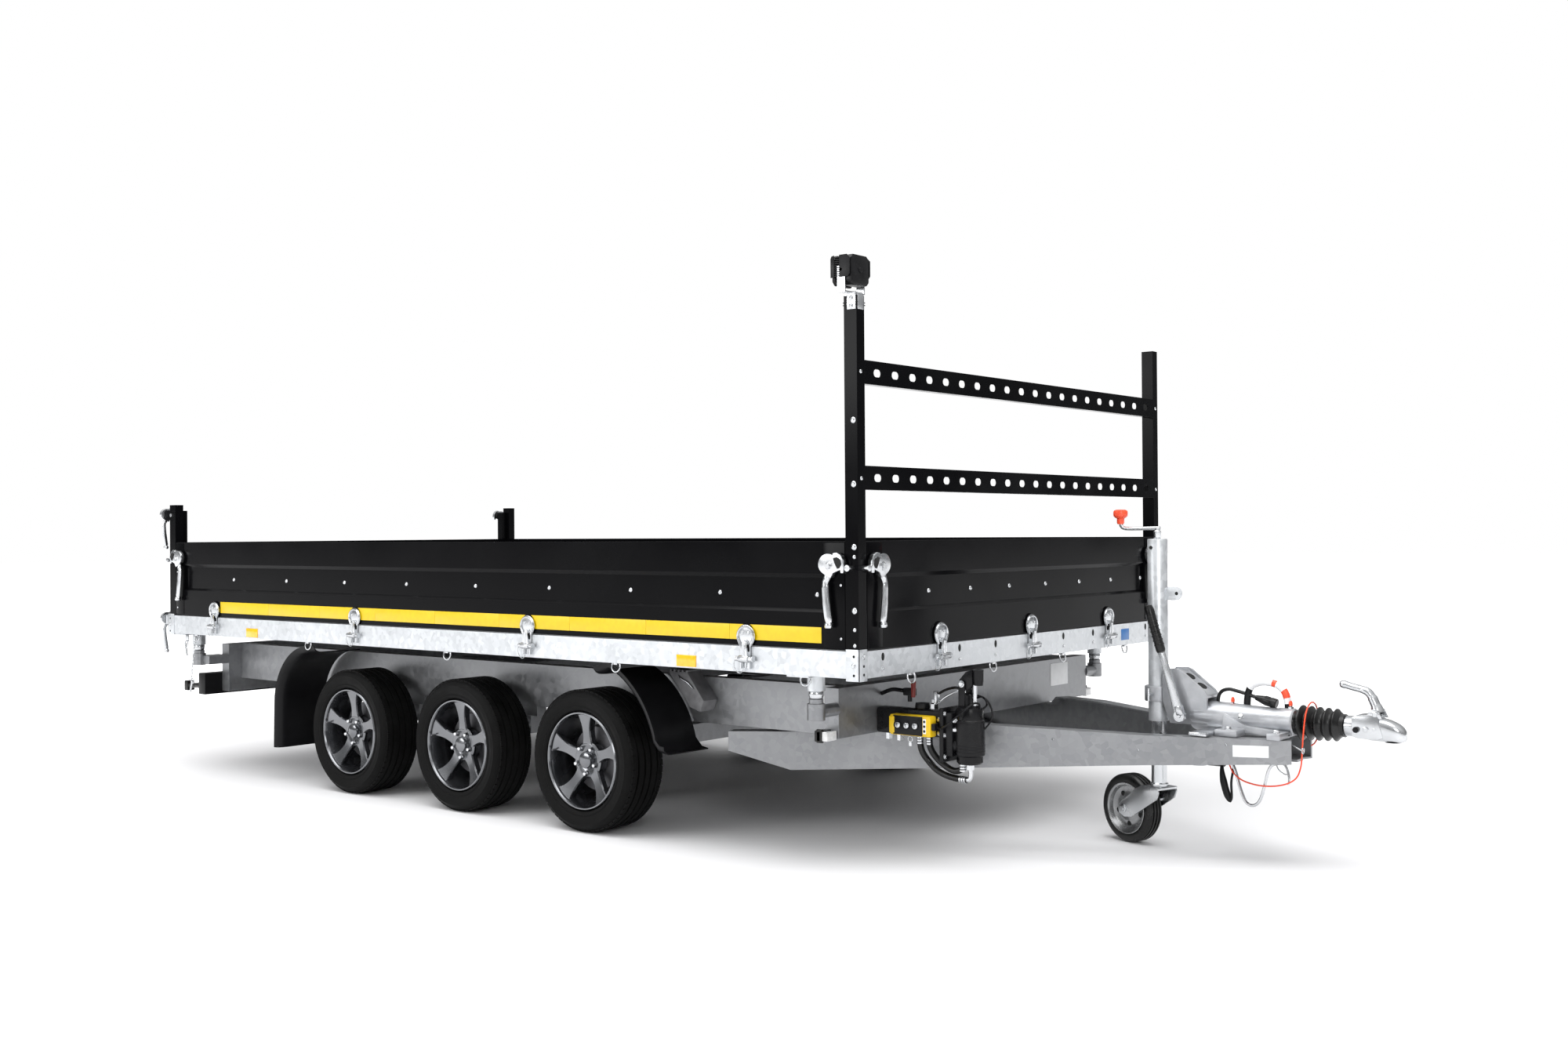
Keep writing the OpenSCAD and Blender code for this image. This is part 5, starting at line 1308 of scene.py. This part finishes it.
# Five thin dark discs on each face of the rim stand for its holes: painted shade.
for i in range(5):
    a = math.radians(72 * i + 20)
    for w in (-13.6, 12.4):
        lathe(bm, [(0, w), (9, w), (9, w + 1.2), (0, w + 1.2)],
              wheel @ move(56 * math.cos(a), 56 * math.sin(a), 0), 20, 2)
bmesh.ops.transform(bm, matrix=castor, verts=bm.verts)
piece(bm, "jockey_wheel_grooved", "jockey_wheel", [rubber, pressed_rim, hole_shade], ["jockey_wheel"])
bm = bmesh.new()
tube(bm, [(jx, 0, 1040), (jx, 0, 1088)], 7.8, 20)
lathe(bm, [(0, 1069), (12, 1069), (13, 1074), (13, 1094), (9, 1098), (0, 1098)], move(jx, 0, 0), 24)
arm = curve([(jx + 10, 0, 1105), (jx - 20, 0, 1105), (jx - 70, 0, 1104), (jx - 108, 0, 1104),
             (jx - 126, 0, 1106), (jx - 136, 0, 1114), (jx - 139, 0, 1126)], 5)
tube(bm, arm, 6.5, 14)
tube(bm, [(jx, 0, 1086), (jx, 0, 1108)], 7, 16)
knob = move(jx - 139, 0, 0)
lathe(bm, [(0, 1120), (11, 1120), (13, 1126), (13, 1140), (18, 1142), (22, 1146), (24, 1150), (24.5, 1160),
           (22, 1168), (16, 1171), (0, 1171.5)], knob, 32, 1)
for i in range(10):
    a = 2 * math.pi * i / 10
    lathe(bm, [(0, 1146), (3.4, 1148), (3.8, 1158), (3, 1166), (0, 1168)],
          knob @ move(21.5 * math.cos(a), 21.5 * math.sin(a), 0), 10, 1)
piece(bm, "jockey_handle", "jockey_crank", [bright_zinc, signal_red], ["jockey_crank"])
paint(bright_zinc, "jockey_inner_tube")

# ---- Cords ----
# The red breakaway cable hangs from the brake gear, through the guide ring, and loops over the bellows; the
# light lead is ribbed black sheath with a moulded plug parked on the housing.
cable_red = surface("cable_red", (0.72, 0.05, 0.015), (0.85, 0.08, 0.02), (0.3, 0.45), 0.0, 60.0)
cable_route = [(786, -60, 318), (800, -64, 294), (830, -70, 274), (870, -75, 264), (915, -80, 262),
               (960, -85, 268), (1000, -89, 282), (1026, -90, 304), (1038, -88, 340), (1040, -84, 380),
               (1040, -76, 420), (1040, -66, 460), (1041, -54, 500), (1042, -32, 526), (1042, 0, 536),
               (1042, 32, 526), (1041, 54, 500), (1040, 64, 460), (1040, 54, 420), (1040, 30, 402),
               (1040, 0, 396)]
bm = bmesh.new()
line = curve(cable_route, 5)
tube(bm, line, 2.5, 10)
cable = piece(bm, "red_breakaway_cable", "chassis", [cable_red], ["breakaway_cable"], 60)
bm = bmesh.new()
lead_route = [(712, 24, 506), (712, 24, 522), (716, 24, 540), (730, 22, 554), (754, 20, 560), (780, 18, 556),
              (805, 15, 551), (830, 12, 545), (856, 10, 538)]
tube(bm, curve(lead_route, 5), 6, 14)
plug = move(850, 10, 539) @ Matrix.Rotation(math.radians(104), 4, "Y")
lathe(bm, [(0, 0), (8, 0), (9, 4), (12, 18), (14, 26), (15, 30), (15, 52), (16.5, 54), (16.5, 72), (14, 74),
           (0, 74)], plug, 28)
for i in range(8):
    a = 2 * math.pi * i / 8
    lathe(bm, [(0, 32), (2, 33), (2, 50), (0, 51)], plug @ move(14.5 * math.cos(a), 14.5 * math.sin(a), 0), 8)
piece(bm, "light_lead_sheath", "chassis", [rubber], ["light_lead"])

# ---- Rear corner pins ----
# Each rear corner carries a plated tab under the rail with two lynch pins on twisted-link chains, for the
# tailgate's lower hinge and the tipping pivot.
bm = bmesh.new()
for side in (1, -1):
    for x, y in ((-4008, 1030), (-3926, 1034)):
        box(bm, x - 14, x + 14, side * y - 1.5, side * y + 1.5, 596, 634, 1)
    tube(bm, hoop(-4008, side * 1034, 586, 13), 2.2, 8)
    tube(bm, [(-4018, side * 1034, 590), (-4002, side * 1034, 530)], [5, 4], 10)
    for i in range(12):
        z = 592 - 15 * i
        flip = i % 2
        link = []
        for k in range(13):
            a = 2 * math.pi * k / 12
            across, tall = 4 * math.cos(a), 9 * math.sin(a)
            link.append(Vector((-3926 - 2.5 * i + (across if flip else 0),
                                side * 1040 + (0 if flip else across), z + tall)))
        tube(bm, link, 1.6, 6)
    tube(bm, [(-3946, side * 1040, 412), (-3964, side * 1040, 360)], [5.5, 4], 10)
    tube(bm, hoop(-3944, side * 1040, 412, 12), 2.2, 8)
piece(bm, "lynch_pins", "bed", [bright_zinc])

# ---- Ram, floor ----
# Hard-chromed telescopic stages in a black barrel under the bed, and a dark resin-faced plywood floor.
chrome = surface("hard_chrome", (0.6, 0.6, 0.62), (0.78, 0.78, 0.8), (0.06, 0.14), 1.0, 30.0)
paint(chrome, "ram_stage_1", "ram_stage_2", "ram_stage_3", "ram_stage_4")
paint(machine_black, "ram_barrel")
paint(surface("resin_ply", (0.022, 0.013, 0.009), (0.034, 0.021, 0.015), (0.4, 0.55), 0.0, 38.0, 0.5,
              gloss=0.25), "bed_floor")
